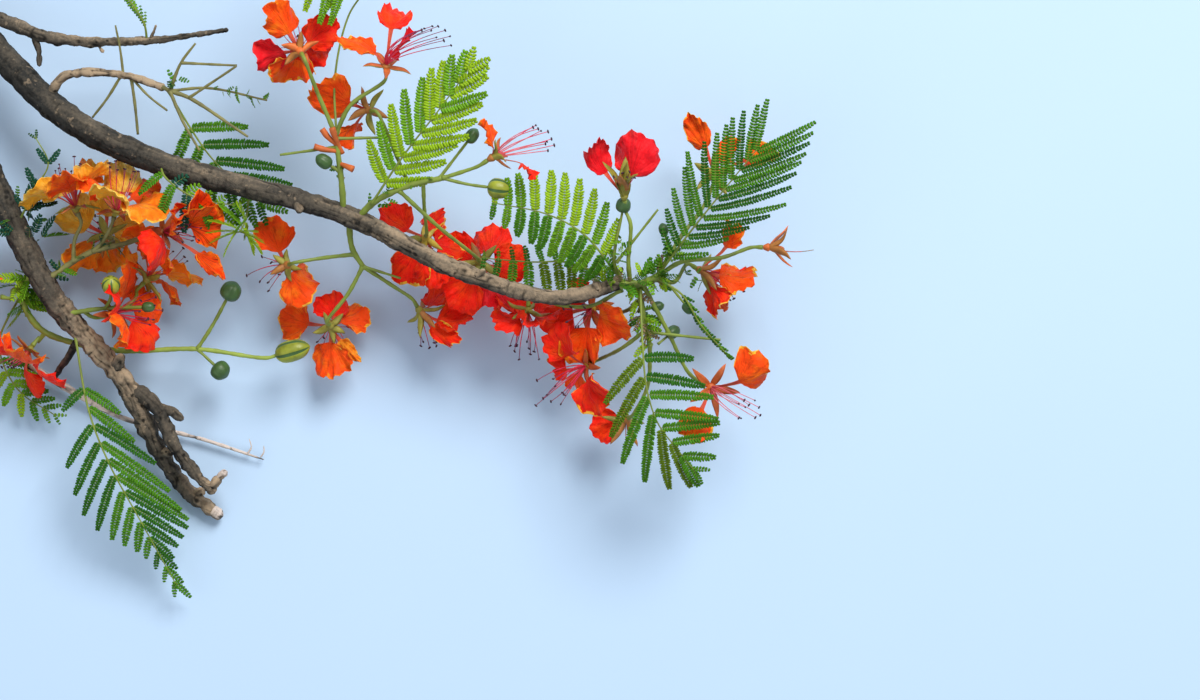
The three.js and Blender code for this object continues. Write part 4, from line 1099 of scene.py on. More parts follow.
# A bud's seams: how many, how deep and sharp they are, and where they take their own finish.
BUD_SEAMS = 5
SEAM_DEPTH = 0.09
SEAM_SHARPNESS = 20
SEAM_EDGE = 0.93
STALK_FINISHES = {"stalks_bare": "stalk_old", "raceme_buds": "stalk_bright", "raceme_left": "stalk_old"}


def bloom_directions(spec):
    """A flower's axis, the way its upper petal stands and the way square to both."""
    axis = unit(np.array(spec["faces"], float))
    upper = np.array(spec["top"], float)
    upper = unit(upper - upper @ axis * axis)
    return axis, upper, np.cross(axis, upper)


def stalk_path(stalk):
    """A stalk's points. One that carries a flower bends in to meet the flower's foot along its axis."""
    path = list(stalk["path"])
    if "flower" in stalk:
        spec = BLOOMS[stalk["flower"]]
        axis = bloom_directions(spec)[0]
        path += [np.array(spec["at"]) - axis * back for back in (FLOWER_STALK_APPROACH, FLOWER_STALK_GAP)]
    return plan(path)


def stalk_tube(path, radius, rng, flare=0.0):
    """A stalk's skin: a tapering tube with slow swells and low rings, flared at its end under a flower."""
    length = length_of(smooth_line(path, POINTS["rough"]))
    count = max(6, int(length / STALK_STEP))
    line = smooth_line(path, count)
    share = steps(count)
    wave = rng.random() * 6
    size = mix(*radius, share) * STALK_FIT
    size = size * (1 + sum(
        high * np.sin(share * length * turn + k * wave) for k, (high, turn) in enumerate(STALK_SWELLS, 1)))
    size = size * (1 + flare * np.exp(-(((1 - share) * length / FLOWER_FLARE_LENGTH) ** 2)))
    size = size * (1 + FOOT_FLARE * np.exp(-((share * length / FOOT_FLARE_LENGTH) ** 2)))
    return tubes(tube_rings(line, size, SIDES["stalk"])[None], line[:1], line[-1:])


BUD_PROFILE = [[-0.985, 0.22], [-0.94, 0.42], [-0.85, 0.62], [-0.7, 0.82], [-0.5, 0.95], [-0.25, 1.0],
               [0.0, 0.99], [0.25, 0.95], [0.45, 0.88], [0.62, 0.75], [0.76, 0.58], [0.87, 0.38], [0.95, 0.2]]


def bud_egg(path, radius, stretch, finishes):
    """A bud: an egg on the line of its stalk, drawn in at its seams by a power of a cosine round it.

    A stretch below 1 makes it shorter and rounder. finishes are the numbers of the finish between the seams
    and along them.
    """
    axis = unit(path[-1] - path[-2])
    half = radius * BUD_LENGTH
    centre = path[-1] + axis * half * (BUD_SEAT - 0.9 * (1 - stretch))
    length, girth = half * BUD_SHAPE[0] * stretch, radius * BUD_SHAPE[1] / stretch**0.4
    surface = eggs(centre[None], axis[None], np.array([length]), np.array([girth]), BUD_PROFILE, SIDES["bud"])
    off = surface["points"] - centre
    middle = axis * (off @ axis)[:, None]
    side = unit(np.cross(axis, UP))
    turn = np.arctan2(off @ np.cross(axis, side), off @ side)
    seams = np.abs(np.cos(BUD_SEAMS / 2 * turn))
    groove = 1 - SEAM_DEPTH * seams**SEAM_SHARPNESS
    surface["points"] = centre + middle + (off - middle) * groove[:, None]
    faces = [surface["quads"], surface["triangles"]]
    seam = np.concatenate([seams[face].mean(axis=1) > SEAM_EDGE for face in faces])
    return surface, np.where(seam, finishes[1], finishes[0])


# Rusty stubs where flowers fell off the upper raceme: their radii and their lines.
RUST_STUB_RADIUS = [2.0, 3.6]
RUST_STUBS = [
    [[441, -188, 148], [432, -180, 151], [427, -173, 153]],
    [[440, -194, 146], [430, -193, 149], [419, -190, 151]],
    [[443, -206, 142], [450, -209, 145], [457, -212, 147]],
    [[446, -196, 143], [440, -182, 152], [437, -172, 156]],
]


def make_stalks():
    rng = np.random.default_rng(SEEDS["stalks"])
    buds = Skin()
    for name, stalks in STEMS.items():
        usual = STALK_FINISHES.get(name, "stalk")
        skin = Skin()
        for stalk in stalks:
            path = stalk_path(stalk)
            radius = plan(stalk.get("radius", FLOWER_STALK_RADIUS))
            flare = FLOWER_FLARE if "flower" in stalk else 0.0
            skin.add(stalk_tube(path, radius, rng, flare), stalk.get("finish", usual))
            if "bud" in stalk:
                closed, ripe = buds.number("bud"), buds.number("bud_ripe")
                finishes = (ripe, closed) if "ripe" in stalk else (closed, closed)
                buds.add(*bud_egg(path, stalk["bud"] * MM, stalk.get("stretch", 1), finishes))
        if name == "raceme_top":
            for path in RUST_STUBS:
                skin.add(stalk_tube(plan(path), plan(RUST_STUB_RADIUS), rng), "stalk_rust")
        skin.build(f"{name}_stalks", "green_stem", [name])
    buds.build("buds", "green_stem")


# Leaves

# A leaflet's rings: their places and girths, and how far its edges and ridge stand up beside half its
# width.
LEAFLET_RINGS = np.array([0.1, 0.5, 0.88])
LEAFLET_GIRTHS = np.array([0.76, 1.0, 0.66])
EDGE_RISE = 0.22
RIDGE_RISE = 0.12
# The places of a row's first and last leaflets, and their angle from it.
LEAFLET_SPAN = (0.04, 0.97)
LEAFLET_ANGLE = 66
LEAFLET_TIP_ANGLE = 24
# A leaflet's reach beside its row's width.
LEAFLET_REACH = 0.62


def leaflets(feet, ways, ups, lengths, widths):
    """Small folded blades: three diamond rings between a point at the foot and one at the tip.

    Each ring has a right edge, a ridge above, a left edge and a keel below, and the edges stand up a
    little.
    """
    ways = unit(ways)
    right = unit(np.cross(ups, ways))
    ups = np.cross(ways, right)
    half = widths[:, None] / 2 * LEAFLET_GIRTHS
    middle = feet[:, None] + ways[:, None] * (lengths[:, None] * LEAFLET_RINGS)[..., None]
    edge, rise = half[..., None] * right[:, None], half[..., None] * ups[:, None]
    raised, ridge = middle + rise * EDGE_RISE, rise * RIDGE_RISE
    rings = np.stack([raised + edge, middle + ridge, raised - edge, middle - ridge], axis=2)
    return tubes(rings, feet, feet + ways * lengths[:, None])


@functools.cache
def limb_places():
    """Points along every woody limb, with their radii."""
    lines = [smooth_line(plan(spec["path"]), POINTS["limb place"]) for spec in LIMBS.values()]
    radii = [spread_over(plan(spec["radius"]), steps(POINTS["limb place"])) for spec in LIMBS.values()]
    return np.concatenate(lines), np.concatenate(radii)


def clear_of_limbs(points, room):
    """True for each point that lies outside every woody limb by the given room, which may be negative."""
    lines, radii = limb_places()
    gap = np.linalg.norm(points[:, None] - lines, axis=-1) - radii
    return gap.min(axis=1) > room


def leaf_rows(spec, rng):
    """The rows of leaflets of one compound leaf, by the same rule as its solid.

    Pairs of rows stand along the stalk. Their length swells and falls by a sine, and they lean towards the
    stalk's end. A row is as wide as the room between two rows allows.
    """
    bare, last = spec.get("bare", LEAF_BARE), spec.get("last", LEAF_LAST_ROW)
    line = smooth_line(plan(spec["path"]), POINTS["leaf"])
    directions = unit(np.gradient(line, axis=0))
    spacing = length_of(line) * (1 - bare) * np.sin(np.radians(spec["angle"])) / (spec["pairs"] - 1)
    widest = min(ROW_WIDTH, spacing * ROW_FILL)
    for pair, share in enumerate(steps(spec["pairs"])):
        at = round(mix(bare, LEAF_END, share) * (len(line) - 1))
        foot, along = line[at], directions[at]
        level = unit(UP - along * along[2])
        roll = np.radians(spec.get("roll", 0) + spec.get("fan", 0) * share)
        up = level * np.cos(roll) - np.cross(level, along) * np.sin(roll)
        left = unit(np.cross(up, along))
        fullness = mix(last, 1, np.sin(np.pi * mix(LEAF_FIRST_ROW, 1, share)) ** spec.get("taper", 1))
        lean = spec["angle"] * mix(*spec.get("leans", LEAF_LEANS), share)
        for side, length in zip((1, -1), plan(spec["rows"])):
            skew = side * mix(*spec.get("skew", (0, 0)), share)
            turn = np.radians(lean - skew + rng.uniform(-ROW_STRAY, ROW_STRAY))
            out = along * np.cos(turn) + left * side * np.sin(turn)
            reach = length * fullness * mix(spec.get("first", 1), 1, min(1, share * 3))
            width = min(widest, reach * ROW_STOUT) * spec.get("slim", LEAF_SLIM)
            if side > 0 or pair not in spec.get("lost", []):
                yield side, Row(foot, out, up, along, reach, width)


# How far a row strays from its angle, in degrees.
ROW_STRAY = 4
# The room between a row and a limb, how much a row draws back from one, and the least that is kept.
ROW_ROOM = 0.0015
ROW_BACK = 0.1
ROW_LEAST = 0.25
ROW_STALK_RADII = (0.0005, 0.0002)
LEAFLET_ROOM = 0.0005


class Row:
    """One row of leaflets: where it starts, its own directions, its length and its width."""

    def __init__(self, foot, out, up, forward, reach, width):
        self.foot, self.out, self.up = foot, out, up
        self.bend = forward * ROW_BEND - up * ROW_DROOP
        self.reach, self.width = reach, width

    def points(self, part):
        """The row's middle: out along it, drooping and bending forward by the square of the way along."""
        return self.foot + self.reach * (self.out * part + self.bend * part**2)

    def stop_short(self):
        """Ends the row where it would enter a limb. It is false where little of the row is left."""
        part = steps(20)[2:, None]
        clear = clear_of_limbs(self.points(part), ROW_ROOM)
        kept = 1.0 if clear.all() else part[np.argmin(clear), 0] - ROW_BACK
        self.reach *= max(kept, 0.0)
        return kept > ROW_LEAST

    def stalk(self):
        share = steps(POINTS["row stalk"])
        line = self.points(share[:, None])
        rings = tube_rings(line, mix(*ROW_STALK_RADII, share), SIDES["row stalk"], self.up)
        return tubes(rings[None], line[:1], line[-1:])

    def leaflets(self, sizes, folded, rng, fill):
        """Leaflets in pairs along the row. They are shorter near its ends, and turn forward at its tip."""
        count = max(4, round(self.reach / sizes.leaflet_gap))
        part = np.repeat(np.linspace(*LEAFLET_SPAN, count), 2)[:, None]
        side = np.tile([1.0, -1.0], count)[:, None]
        along = unit(self.out + 2 * self.bend * part)
        sideways = unit(np.cross(self.up, along))
        angle = mix(LEAFLET_ANGLE, LEAFLET_TIP_ANGLE, part**6) * folded
        angle = np.radians(angle + rng.uniform(-5, 5, part.shape))
        tilt = np.radians(rng.uniform(0, 15) + rng.uniform(-4, 4, part.shape))
        ways = along * np.cos(angle) + side * sideways * np.sin(angle)
        ways = ways * np.cos(tilt) + self.up * np.sin(tilt)
        swell = np.sin(np.pi * mix(0.2, 0.9, part[:, 0])) ** 0.45
        lengths = self.width * LEAFLET_REACH / np.sin(np.radians(LEAFLET_ANGLE * folded)) * swell
        lengths = lengths * rng.uniform(0.93, 1.08, len(swell))
        feet = self.points(part)
        keep = clear_of_limbs(feet + ways * lengths[:, None] / 2, LEAFLET_ROOM)
        ups = np.broadcast_to(self.up, feet.shape)
        width = self.reach / count * sizes.leaflet_fill * fill
        return leaflets(feet[keep], ways[keep], ups[keep], lengths[keep], np.full(keep.sum(), width))


# A leaf's stalk: its step, its tip's radius beside the foot's, and its foot's flare, whose length is beside
# its own.
LEAF_STALK_STEP = 0.003
LEAF_STALK_TAPER = 0.42
LEAF_STALK_FLARE = 0.5
LEAF_STALK_FLARE_LENGTH = 0.03
# How far a sprig's leaflets have opened, and its width beside its length.
SPRIG_FOLDED = 0.7
SPRIG_WIDTH = 0.4


def leaf_stalk(path, radius):
    """A leaf's own stalk: a tube that tapers evenly, with a flare at its foot by an exponential."""
    line = smooth_line(path, int(length_of(smooth_line(path, POINTS["rough"])) / LEAF_STALK_STEP))
    share = steps(len(line))
    width = mix(radius, radius * LEAF_STALK_TAPER, share)
    width = width * (1 + LEAF_STALK_FLARE * np.exp(-((share / LEAF_STALK_FLARE_LENGTH) ** 2)))
    return tubes(tube_rings(line, width, SIDES["leaf stalk"])[None], line[:1], line[-1:])


def make_leaves(sizes):
    stalks = Skin()

    def add_row(skin, row, tones, rng, folded, fill):
        if row.stop_short():
            stalks.add(row.stalk(), "stalk")
            surface = row.leaflets(sizes, folded, rng, fill)
            skin.add(surface, TONES[rng.choice(list(tones))])

    for number, (name, spec) in enumerate(LEAVES.items()):
        rng = np.random.default_rng(SEEDS["leaves"] + number)
        stalks.add(leaf_stalk(plan(spec["path"]), sizes.stalk_radius), "stalk")
        tones = {1: spec["tones"], -1: spec.get("right_tones", spec["tones"])}
        skin = Skin()
        for side, row in leaf_rows(spec, rng):
            add_row(skin, row, tones[side], rng, spec.get("folded", 1.0), spec.get("fill", 1.0))
        skin.build(f"{name}_leaflets", "foliage", [name])
    young = Skin()
    rng = np.random.default_rng(SEEDS["sprigs"])
    for sprigs in SPRIGS:
        for row in sprig_rows(sprigs, rng):
            add_row(young, row, sprigs["tones"], rng, SPRIG_FOLDED, 1.0)
    young.build("young_sprigs", "foliage")
    stalks.build("leaf_stalks", "green_stem")


def sprig_rows(sprigs, rng):
    """Little young leaves that stand off a stalk at random places and turns."""
    line = smooth_line(plan(sprigs["path"]), POINTS["sprigs"])
    side, other, along = across(line)
    for _ in range(sprigs["count"]):
        at, turn = rng.integers(0, POINTS["sprigs"]), rng.random() * 2 * np.pi
        out = around(side[at], other[at], turn)
        way = unit(out + along[at] * rng.uniform(-0.3, 0.8))
        up = unit(np.cross(way, rng.normal(size=3)))
        up = up * np.copysign(1, up[2])
        reach = rng.uniform(*plan(sprigs["lengths"]))
        yield Row(line[at] + out * sprigs["radius"] * MM, way, up, along[at], reach, reach * SPRIG_WIDTH)


# Flowers

# A petal's grid, the share of its rows that the claw has, and half the fan of its rays.
PETAL_ROWS = 24
PETAL_COLUMNS = 37
CLAW_ROWS = 0.22
PETAL_FAN = np.radians(84)
# Half the claw's width at its foot and at its end, in metres.
CLAW_WIDTHS = (0.0011, 0.0024)
# The scallops of a petal's margin: their depth beside its length, and their turn beside the fan's.
SCALLOPS = ((0.05, 3.7), (0.035, 9), (0.03, 21))
# A petal's angles from the flower's axis, and where it has them, from the claw's end in its limb's lengths.
PETAL_ANGLES = (42, 70, 90, 104)
PETAL_PLACES = (-0.3, 0.19, 0.57, 0.88)
# A petal is left out if too small a share of it, from a row on, is clear of the limbs or sinks in by so
# little.
PETAL_TEST_ROW = 7
PETAL_CLEAR = 0.97
PETAL_SINKS = 0.003
# A sepal's grid, its usual angle, its angles beside that and where it has them along it, how far it strays
# beside the room for one, and the shares of a calyx's two finishes.
SEPAL_ROWS = 10
SEPAL_COLUMNS = 5
SEPAL_ANGLE = 96
SEPAL_ANGLES = (-34, -14, 4, 4)
SEPAL_PLACES = (0.0, 0.25, 0.7, 1.0)
SEPAL_STRAY = 0.13
SEPAL_SHARES = (0.6, 0.4)
# Where sepals, petals and stamens stand along the cup.
SEATS = {"sepal": 0.3, "petal": 0.6, "stamen": 0.8}
# How much of a blade's own bend has come in by each of its angles, and the steps of its line.
BEND_GROWTH = np.array([0, 0, 0.5, 1])
BEND_STEPS = 90


def bent(foot, axis, outward, wide, along, lift, places, angles):
    """Carries flat places onto a line that leans from the flower's axis by an angle that changes along it.

    The line is the sum of small steps, each along cosine of the angle on the axis and sine of it outward. A
    flat place goes along the line, then wide across it, then lift towards the flower's axis.
    """
    fine = np.linspace(0, max(along.max(), places[-1]), BEND_STEPS)
    angle = np.interp(fine, places, np.radians(angles))
    ahead, rise = np.cumsum([np.sin(angle), np.cos(angle)], axis=1) * fine[1]
    lean = np.interp(along, fine, angle)
    out = np.interp(along, fine, ahead) - lift * np.cos(lean)
    high = np.interp(along, fine, rise) + lift * np.sin(lean)
    sideways = np.cross(outward, axis)
    return foot + out[..., None] * outward + high[..., None] * axis + wide[..., None] * sideways


def of_petal(spec, key, k, default):
    """What a flower's table says of one petal."""
    return spec.get(key, {}).get(k, default)


def petal_grid(foot, axis, outward, sizes, rng, spec, k):
    """A petal: a narrow grooved claw, then rays that fan out from its end to a round ruffled margin.

    A ray at angle f from the middle reaches cosine of f to the power 0.6, with scallops. Its lift is the
    sum of waves round the fan, which grow by a power of the way out, a fold that grows by the square of the
    way across, creases along the rays and crinkles of noise. The claw bows to one side by the sine of the
    way along, and the petal twists evenly along its length.
    """
    claw_length = of_petal(spec, "claws", k, 1) * sizes.claw_length
    limb_length = of_petal(spec, "limbs", k, 1) * sizes.limb_length
    opened = of_petal(spec, "opens", k, spec.get("open", rng.uniform(0.92, 1.02)))
    rows, columns = steps(PETAL_ROWS)[:, None], np.linspace(-1, 1, PETAL_COLUMNS)[None]
    claw = np.clip(rows / CLAW_ROWS, 0, 1)
    ray = np.sin(np.clip((rows - CLAW_ROWS) / (1 - CLAW_ROWS), 0, 1) * np.pi / 2)
    fan = columns * PETAL_FAN
    phase = rng.uniform(0, 6, 8)
    scallops = sum(deep * np.sin(turn * fan + start) for (deep, turn), start in zip(SCALLOPS, phase))
    reach = limb_length * rng.uniform(0.88, 1.0) * np.cos(fan) ** 0.6 * (1 + scallops)
    spread = rng.uniform(0.86, 1.0) * of_petal(spec, "breadths", k, 1)
    wide = columns * mix(*CLAW_WIDTHS, claw**2) + np.sin(fan) * reach * ray * spread
    along = claw * claw_length + np.cos(fan) * reach * ray
    waves = np.sin(5.2 * fan + phase[3]) + 0.6 * np.sin(10.5 * fan + phase[4])
    lift = sizes.ruffle * (ray**2 * waves + 0.6 * ray**4 * np.sin(22 * fan + phase[5] + 2 * ray))
    fold = rng.uniform(0.3, 1.7) * rng.choice([-1, 1])
    lift = lift + fold * 0.008 * (wide / 0.02) ** 2 + 0.0006 * columns**2 * (1 - ray)
    flat = np.stack(np.broadcast_arrays(wide, along, phase[6]), -1)
    crinkles = noise(flat, 0.0095) * 0.0034 + noise(flat * [1, 0.45, 1], 0.0042) * 0.0022
    lift = lift + crinkles * ray - 0.0012 * np.exp(-((wide / 0.0016) ** 2)) * ray
    wide = wide + rng.uniform(-0.004, 0.004) * np.sin(np.pi * rows**0.8)
    twist = rng.uniform(-0.7, 0.7) * along / (claw_length + limb_length)
    wide, lift = wide * np.cos(twist) - lift * np.sin(twist), wide * np.sin(twist) + lift * np.cos(twist)
    places = claw_length + limb_length * np.array(PETAL_PLACES)
    angles = np.array(PETAL_ANGLES) * opened + rng.uniform(-9, 9) + rng.uniform(-12, 12) * BEND_GROWTH
    return bent(foot, axis, outward, wide, along, lift, places, of_petal(spec, "bends", k, angles))


def petal_finishes(skin, tint, rng):
    """The finish of each face of a petal: claw, limb and a ragged margin, above and then below."""
    limb, margin, claw = (skin.number(name) for name in (*TINTS[tint], "claw"))
    row = (np.arange(PETAL_ROWS - 1)[:, None] + 0.5) / (PETAL_ROWS - 1)
    column = np.linspace(-1, 1, PETAL_COLUMNS - 1)[None]
    ragged = 0.9 + 0.07 * np.sin(9 * column + rng.uniform(0, 6))
    ragged = ragged + 0.05 * np.sin(23 * column + rng.uniform(0, 6))
    ragged = ragged + rng.uniform(-0.05, 0.05, (PETAL_ROWS - 1, PETAL_COLUMNS - 1))
    finish = np.where(row > ragged - 0.1 * column**8, margin, limb)
    finish = np.where(row < CLAW_ROWS * 0.95, claw, finish)
    return np.tile(finish.ravel(), 2)


def sepal_grid(foot, axis, outward, angle, length, breadth, rng):
    """A sepal: a pointed blade whose width is the sine of the way along, with its edges raised.

    It bends to one side by the square of the way along, and waves by a sine.
    """
    rows, columns = steps(SEPAL_ROWS)[:, None], np.linspace(-1, 1, SEPAL_COLUMNS)[None]
    width = np.maximum(np.sin(np.pi * rows**0.75) ** 0.8, 0.42 * (1 - rows))
    wide = columns * width * breadth / 2 * rng.uniform(0.8, 1.05) + rng.uniform(-0.005, 0.005) * rows**2
    along = rows * length * rng.uniform(0.84, 1.0) + 0 * columns
    lift = columns**2 * 0.0018 * width + 0.0009 * np.sin(rows * 7 + rng.uniform(0, 6))
    places = length * np.array(SEPAL_PLACES)
    angles = angle + np.array(SEPAL_ANGLES) + rng.uniform(-16, 12) + rng.uniform(-26, 22) * BEND_GROWTH
    return bent(foot, axis, outward, wide, along, lift, places, angles)


# A filament's sides and rings, its end's radius beside its foot's, and where its outer colour starts.
FILAMENT_SIDES = 4
FILAMENT_STEPS = 9
FILAMENT_TAPER = 0.6
FILAMENT_OUTER = 0.6
STAMEN_COUNT = 10
# How far stamens sweep to their own side, sag and stray at their ends, in metres.
STAMEN_SWEEP = 0.034
STAMEN_SAG = 0.006
STAMEN_STRAY = 0.003


def stamen_lines(foot, axes, spec, sizes, rng):
    """Filaments: each leans from the axis by an angle that falls along it.

    All sag away from the upper petal, and sweep to the flower's own side, by the square of the way along.
    """
    axis, upper, side = axes
    count = 1 if "style" in spec else spec.get("rods", STAMEN_COUNT)
    turn = (np.arange(count) + 0.5) * 2 * np.pi / count + rng.uniform(-0.2, 0.2, count)
    part = steps(FILAMENT_STEPS)
    lean = mix(rng.uniform(0.35, 0.62, count)[:, None], rng.uniform(-0.1, 0.3, count)[:, None], part)
    length = sizes.stamen_length * spec.get("rod_length", 1) / (FILAMENT_STEPS - 1)
    length = length * rng.uniform(0.78, 1.0, count)[:, None]
    out = np.cumsum(np.sin(lean) * length, axis=1) - np.sin(lean[:, :1]) * length
    high = np.cumsum(np.cos(lean) * length, axis=1) - np.cos(lean[:, :1]) * length
    outward = around(upper, side, turn)
    sweep = np.array(spec.get("sweep", [0, 0, 0])) * STAMEN_SWEEP - STAMEN_SAG * upper
    sweep = sweep + rng.normal(0, STAMEN_STRAY, (count, 1, 3))
    return foot + outward[:, None] * out[..., None] + axis * high[..., None] + part[:, None] ** 2 * sweep


# An anther's half length and radius, and its rings and a cup's: their places and radii.
ANTHER_SIZE = (0.0021, 0.001)
ANTHER_PROFILE = [[-0.7, 0.7], [0.0, 1.0], [0.7, 0.7]]
CUP_PROFILE = [[0.0, 0.45], [0.12, 0.6], [0.35, 0.78], [0.6, 0.98], [0.8, 1.0], [0.92, 0.82]]


def add_stamens(skin, lines, axes, rods, sizes, rng):
    """Tapering filaments, with another colour in their outer part, and an anther across each end.

    An anther is a small egg. A flower that has only its style left has a single filament, without one.
    """
    axis, _, side = axes
    count = len(lines)
    radii = mix(sizes.stamen_radius, sizes.stamen_radius * FILAMENT_TAPER, steps(FILAMENT_STEPS))
    radii = np.broadcast_to(radii, lines.shape[:2])
    surface = tubes(tube_rings(lines, radii, FILAMENT_SIDES, side), lines[:, 0], lines[:, -1])
    inner, outer = (skin.number(name) for name in rods)
    ring = np.repeat(np.arange(FILAMENT_STEPS - 1), FILAMENT_SIDES)
    rings = np.where(ring < FILAMENT_STEPS * FILAMENT_OUTER, inner, outer)
    ends = np.repeat([inner, outer], FILAMENT_SIDES)
    skin.add(surface, np.concatenate([np.tile(rings, count), np.tile(ends, count)]))
    if count > 1:
        ways = unit(np.cross(lines[:, -1] - lines[:, -2], rng.normal(size=(count, 3))))
        halves, radii = (np.full(count, size) for size in ANTHER_SIZE)
        reference = axis + 0.1 * side
        surface = eggs(lines[:, -1], ways, halves, radii, ANTHER_PROFILE, SIDES["anther"], reference)
        skin.add(surface, "anther")


def rod_finishes(spec):
    """The finishes of the inner and the outer part of a flower's filaments."""
    if "style" in spec:
        return "claw", "dry"
    return ("filament_pink", "filament") if "rods_pink" in spec else ("filament", "filament_dark")


def bloom_skin(name, spec, sizes):
    """One flower: its cup, petals, sepals and stamens."""
    rng = np.random.default_rng(sum(map(ord, name)))
    axes = bloom_directions(spec)
    axis, upper, side = axes
    foot = plan(spec["at"])
    skin = Skin()

    def seat(share):
        return foot + axis * sizes.cup_length * share

    for k, tint in enumerate(spec["tints"]):
        if tint == MISSING:
            continue
        outward = around(upper, side, k * 2 * np.pi / 5 + np.radians(of_petal(spec, "turns", k, 0)))
        grid = petal_grid(seat(SEATS["petal"]), axis, outward, sizes, rng, spec, k)
        if clear_of_limbs(grid[PETAL_TEST_ROW:].reshape(-1, 3), -PETAL_SINKS).mean() > PETAL_CLEAR:
            skin.add(blades(grid[None], sizes.petal_depth), petal_finishes(skin, tint, rng))
    angle = spec.get("sepals", SEPAL_ANGLE)
    length = spec.get("sepal_length", 1) * sizes.sepal_length
    breadth = spec.get("sepal_breadth", 1) * sizes.sepal_width
    inside = spec.get("inside", "sepal_inside")
    outsides = CALYX_FINISHES[spec.get("calyx", "olive")]
    for k in range(5):
        outward = around(upper, side, (k + 0.5 + rng.uniform(-SEPAL_STRAY, SEPAL_STRAY)) * 2 * np.pi / 5)
        grid = sepal_grid(seat(SEATS["sepal"]), axis, outward, angle, length, breadth, rng)
        faces = [skin.number(finish) for finish in (inside, rng.choice(outsides, p=SEPAL_SHARES))]
        faces = np.repeat(faces, (SEPAL_ROWS - 1) * (SEPAL_COLUMNS - 1))
        skin.add(blades(grid[None], sizes.sepal_depth), faces)
    place, girth = np.array(CUP_PROFILE).T
    middles = foot + axis * (place * sizes.cup_length)[:, None]
    rings = tube_rings(middles, girth * sizes.cup_radius, SIDES["cup"])
    skin.add(tubes(rings[None], foot[None], seat(1.0)[None]), outsides[0])
    lines = stamen_lines(seat(SEATS["stamen"]), axes, spec, sizes, rng)
    add_stamens(skin, lines, axes, rod_finishes(spec), sizes, rng)
    return skin


def make_blossom(sizes):
    for name, spec in BLOOMS.items():
        bloom_skin(name, spec, sizes).build(f"{name}_flower", "blossom", [name])


# Stage

# The middle of the photograph on the plan, in millimetres.
CAMERA_AIM = [700, -390, 100]
SENSOR_WIDTH = 36
CLIP_END = 50
# The lights' places from there, in metres, the size of their discs, and their colours.
LIGHTS = {
    "key": ([1.5, 3.2, 3.9], 2.7, (1.0, 0.97, 0.92)),
    "fill": ([-1.8, -0.9, 2.4], 2.6, (0.93, 0.96, 1.0)),
}
SKY_COLOUR = (0.93, 0.96, 1.0, 1.0)


def make_stage(settings):
    """A pale level floor, a wide key light, a soft fill, the sky and the camera straight above."""
    half = settings.floor_size / 2
    mesh = bpy.data.meshes.new("floor")
    corners = [(-half, -half, 0), (half, -half, 0), (half, half, 0), (-half, half, 0)]
    mesh.from_pydata(corners, [], [(0, 1, 2, 3)])
    mottled_finish("floor", settings.floor_colour, 0.9, 0.4, 0.0001, 0.01, Specular_IOR_Level=0.05)
    mesh.materials.append(bpy.data.materials["floor"])
    link_object("floor", mesh)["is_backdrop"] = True
    aim = plan(CAMERA_AIM) + DATUM
    powers = {"key": settings.key_power, "fill": settings.fill_power}
    for name, (place, size, colour) in LIGHTS.items():
        light = bpy.data.lights.new(name, "AREA")
        light.shape = "DISK"
        light.size = size
        light.energy = powers[name]
        light.color = colour
        lamp = link_object(name, light)
        lamp.location = aim + place
        lamp.rotation_euler = Vector(place).to_track_quat("Z", "Y").to_euler()
    world = bpy.data.worlds.new("soft sky")
    world.use_nodes = True
    background = world.node_tree.nodes["Background"]
    background.inputs["Color"].default_value = SKY_COLOUR
    background.inputs["Strength"].default_value = settings.sky_strength
    bpy.context.scene.world = world
    lens = bpy.data.cameras.new("camera")
    lens.lens = settings.focal_length
    lens.sensor_width = SENSOR_WIDTH
    lens.clip_end = CLIP_END
    camera = link_object("camera", lens)
    camera.location = aim + [0, 0, settings.camera_height]
    bpy.context.scene.camera = camera
    bpy.context.scene.view_settings.view_transform = "Standard"


# The add-on's settings, operators and panel

def length_setting(name, description, default):
    return FloatProperty(
        name=name, description=description, default=default, min=0, unit="LENGTH", precision=4)


def number_setting(name, description, default, **limits):
    return FloatProperty(name=name, description=description, default=default, **limits)


def colour_setting(name, description, default):
    return FloatVectorProperty(
        name=name, description=description, default=(*default, 1.0), subtype="COLOR", size=4, min=0, max=1)


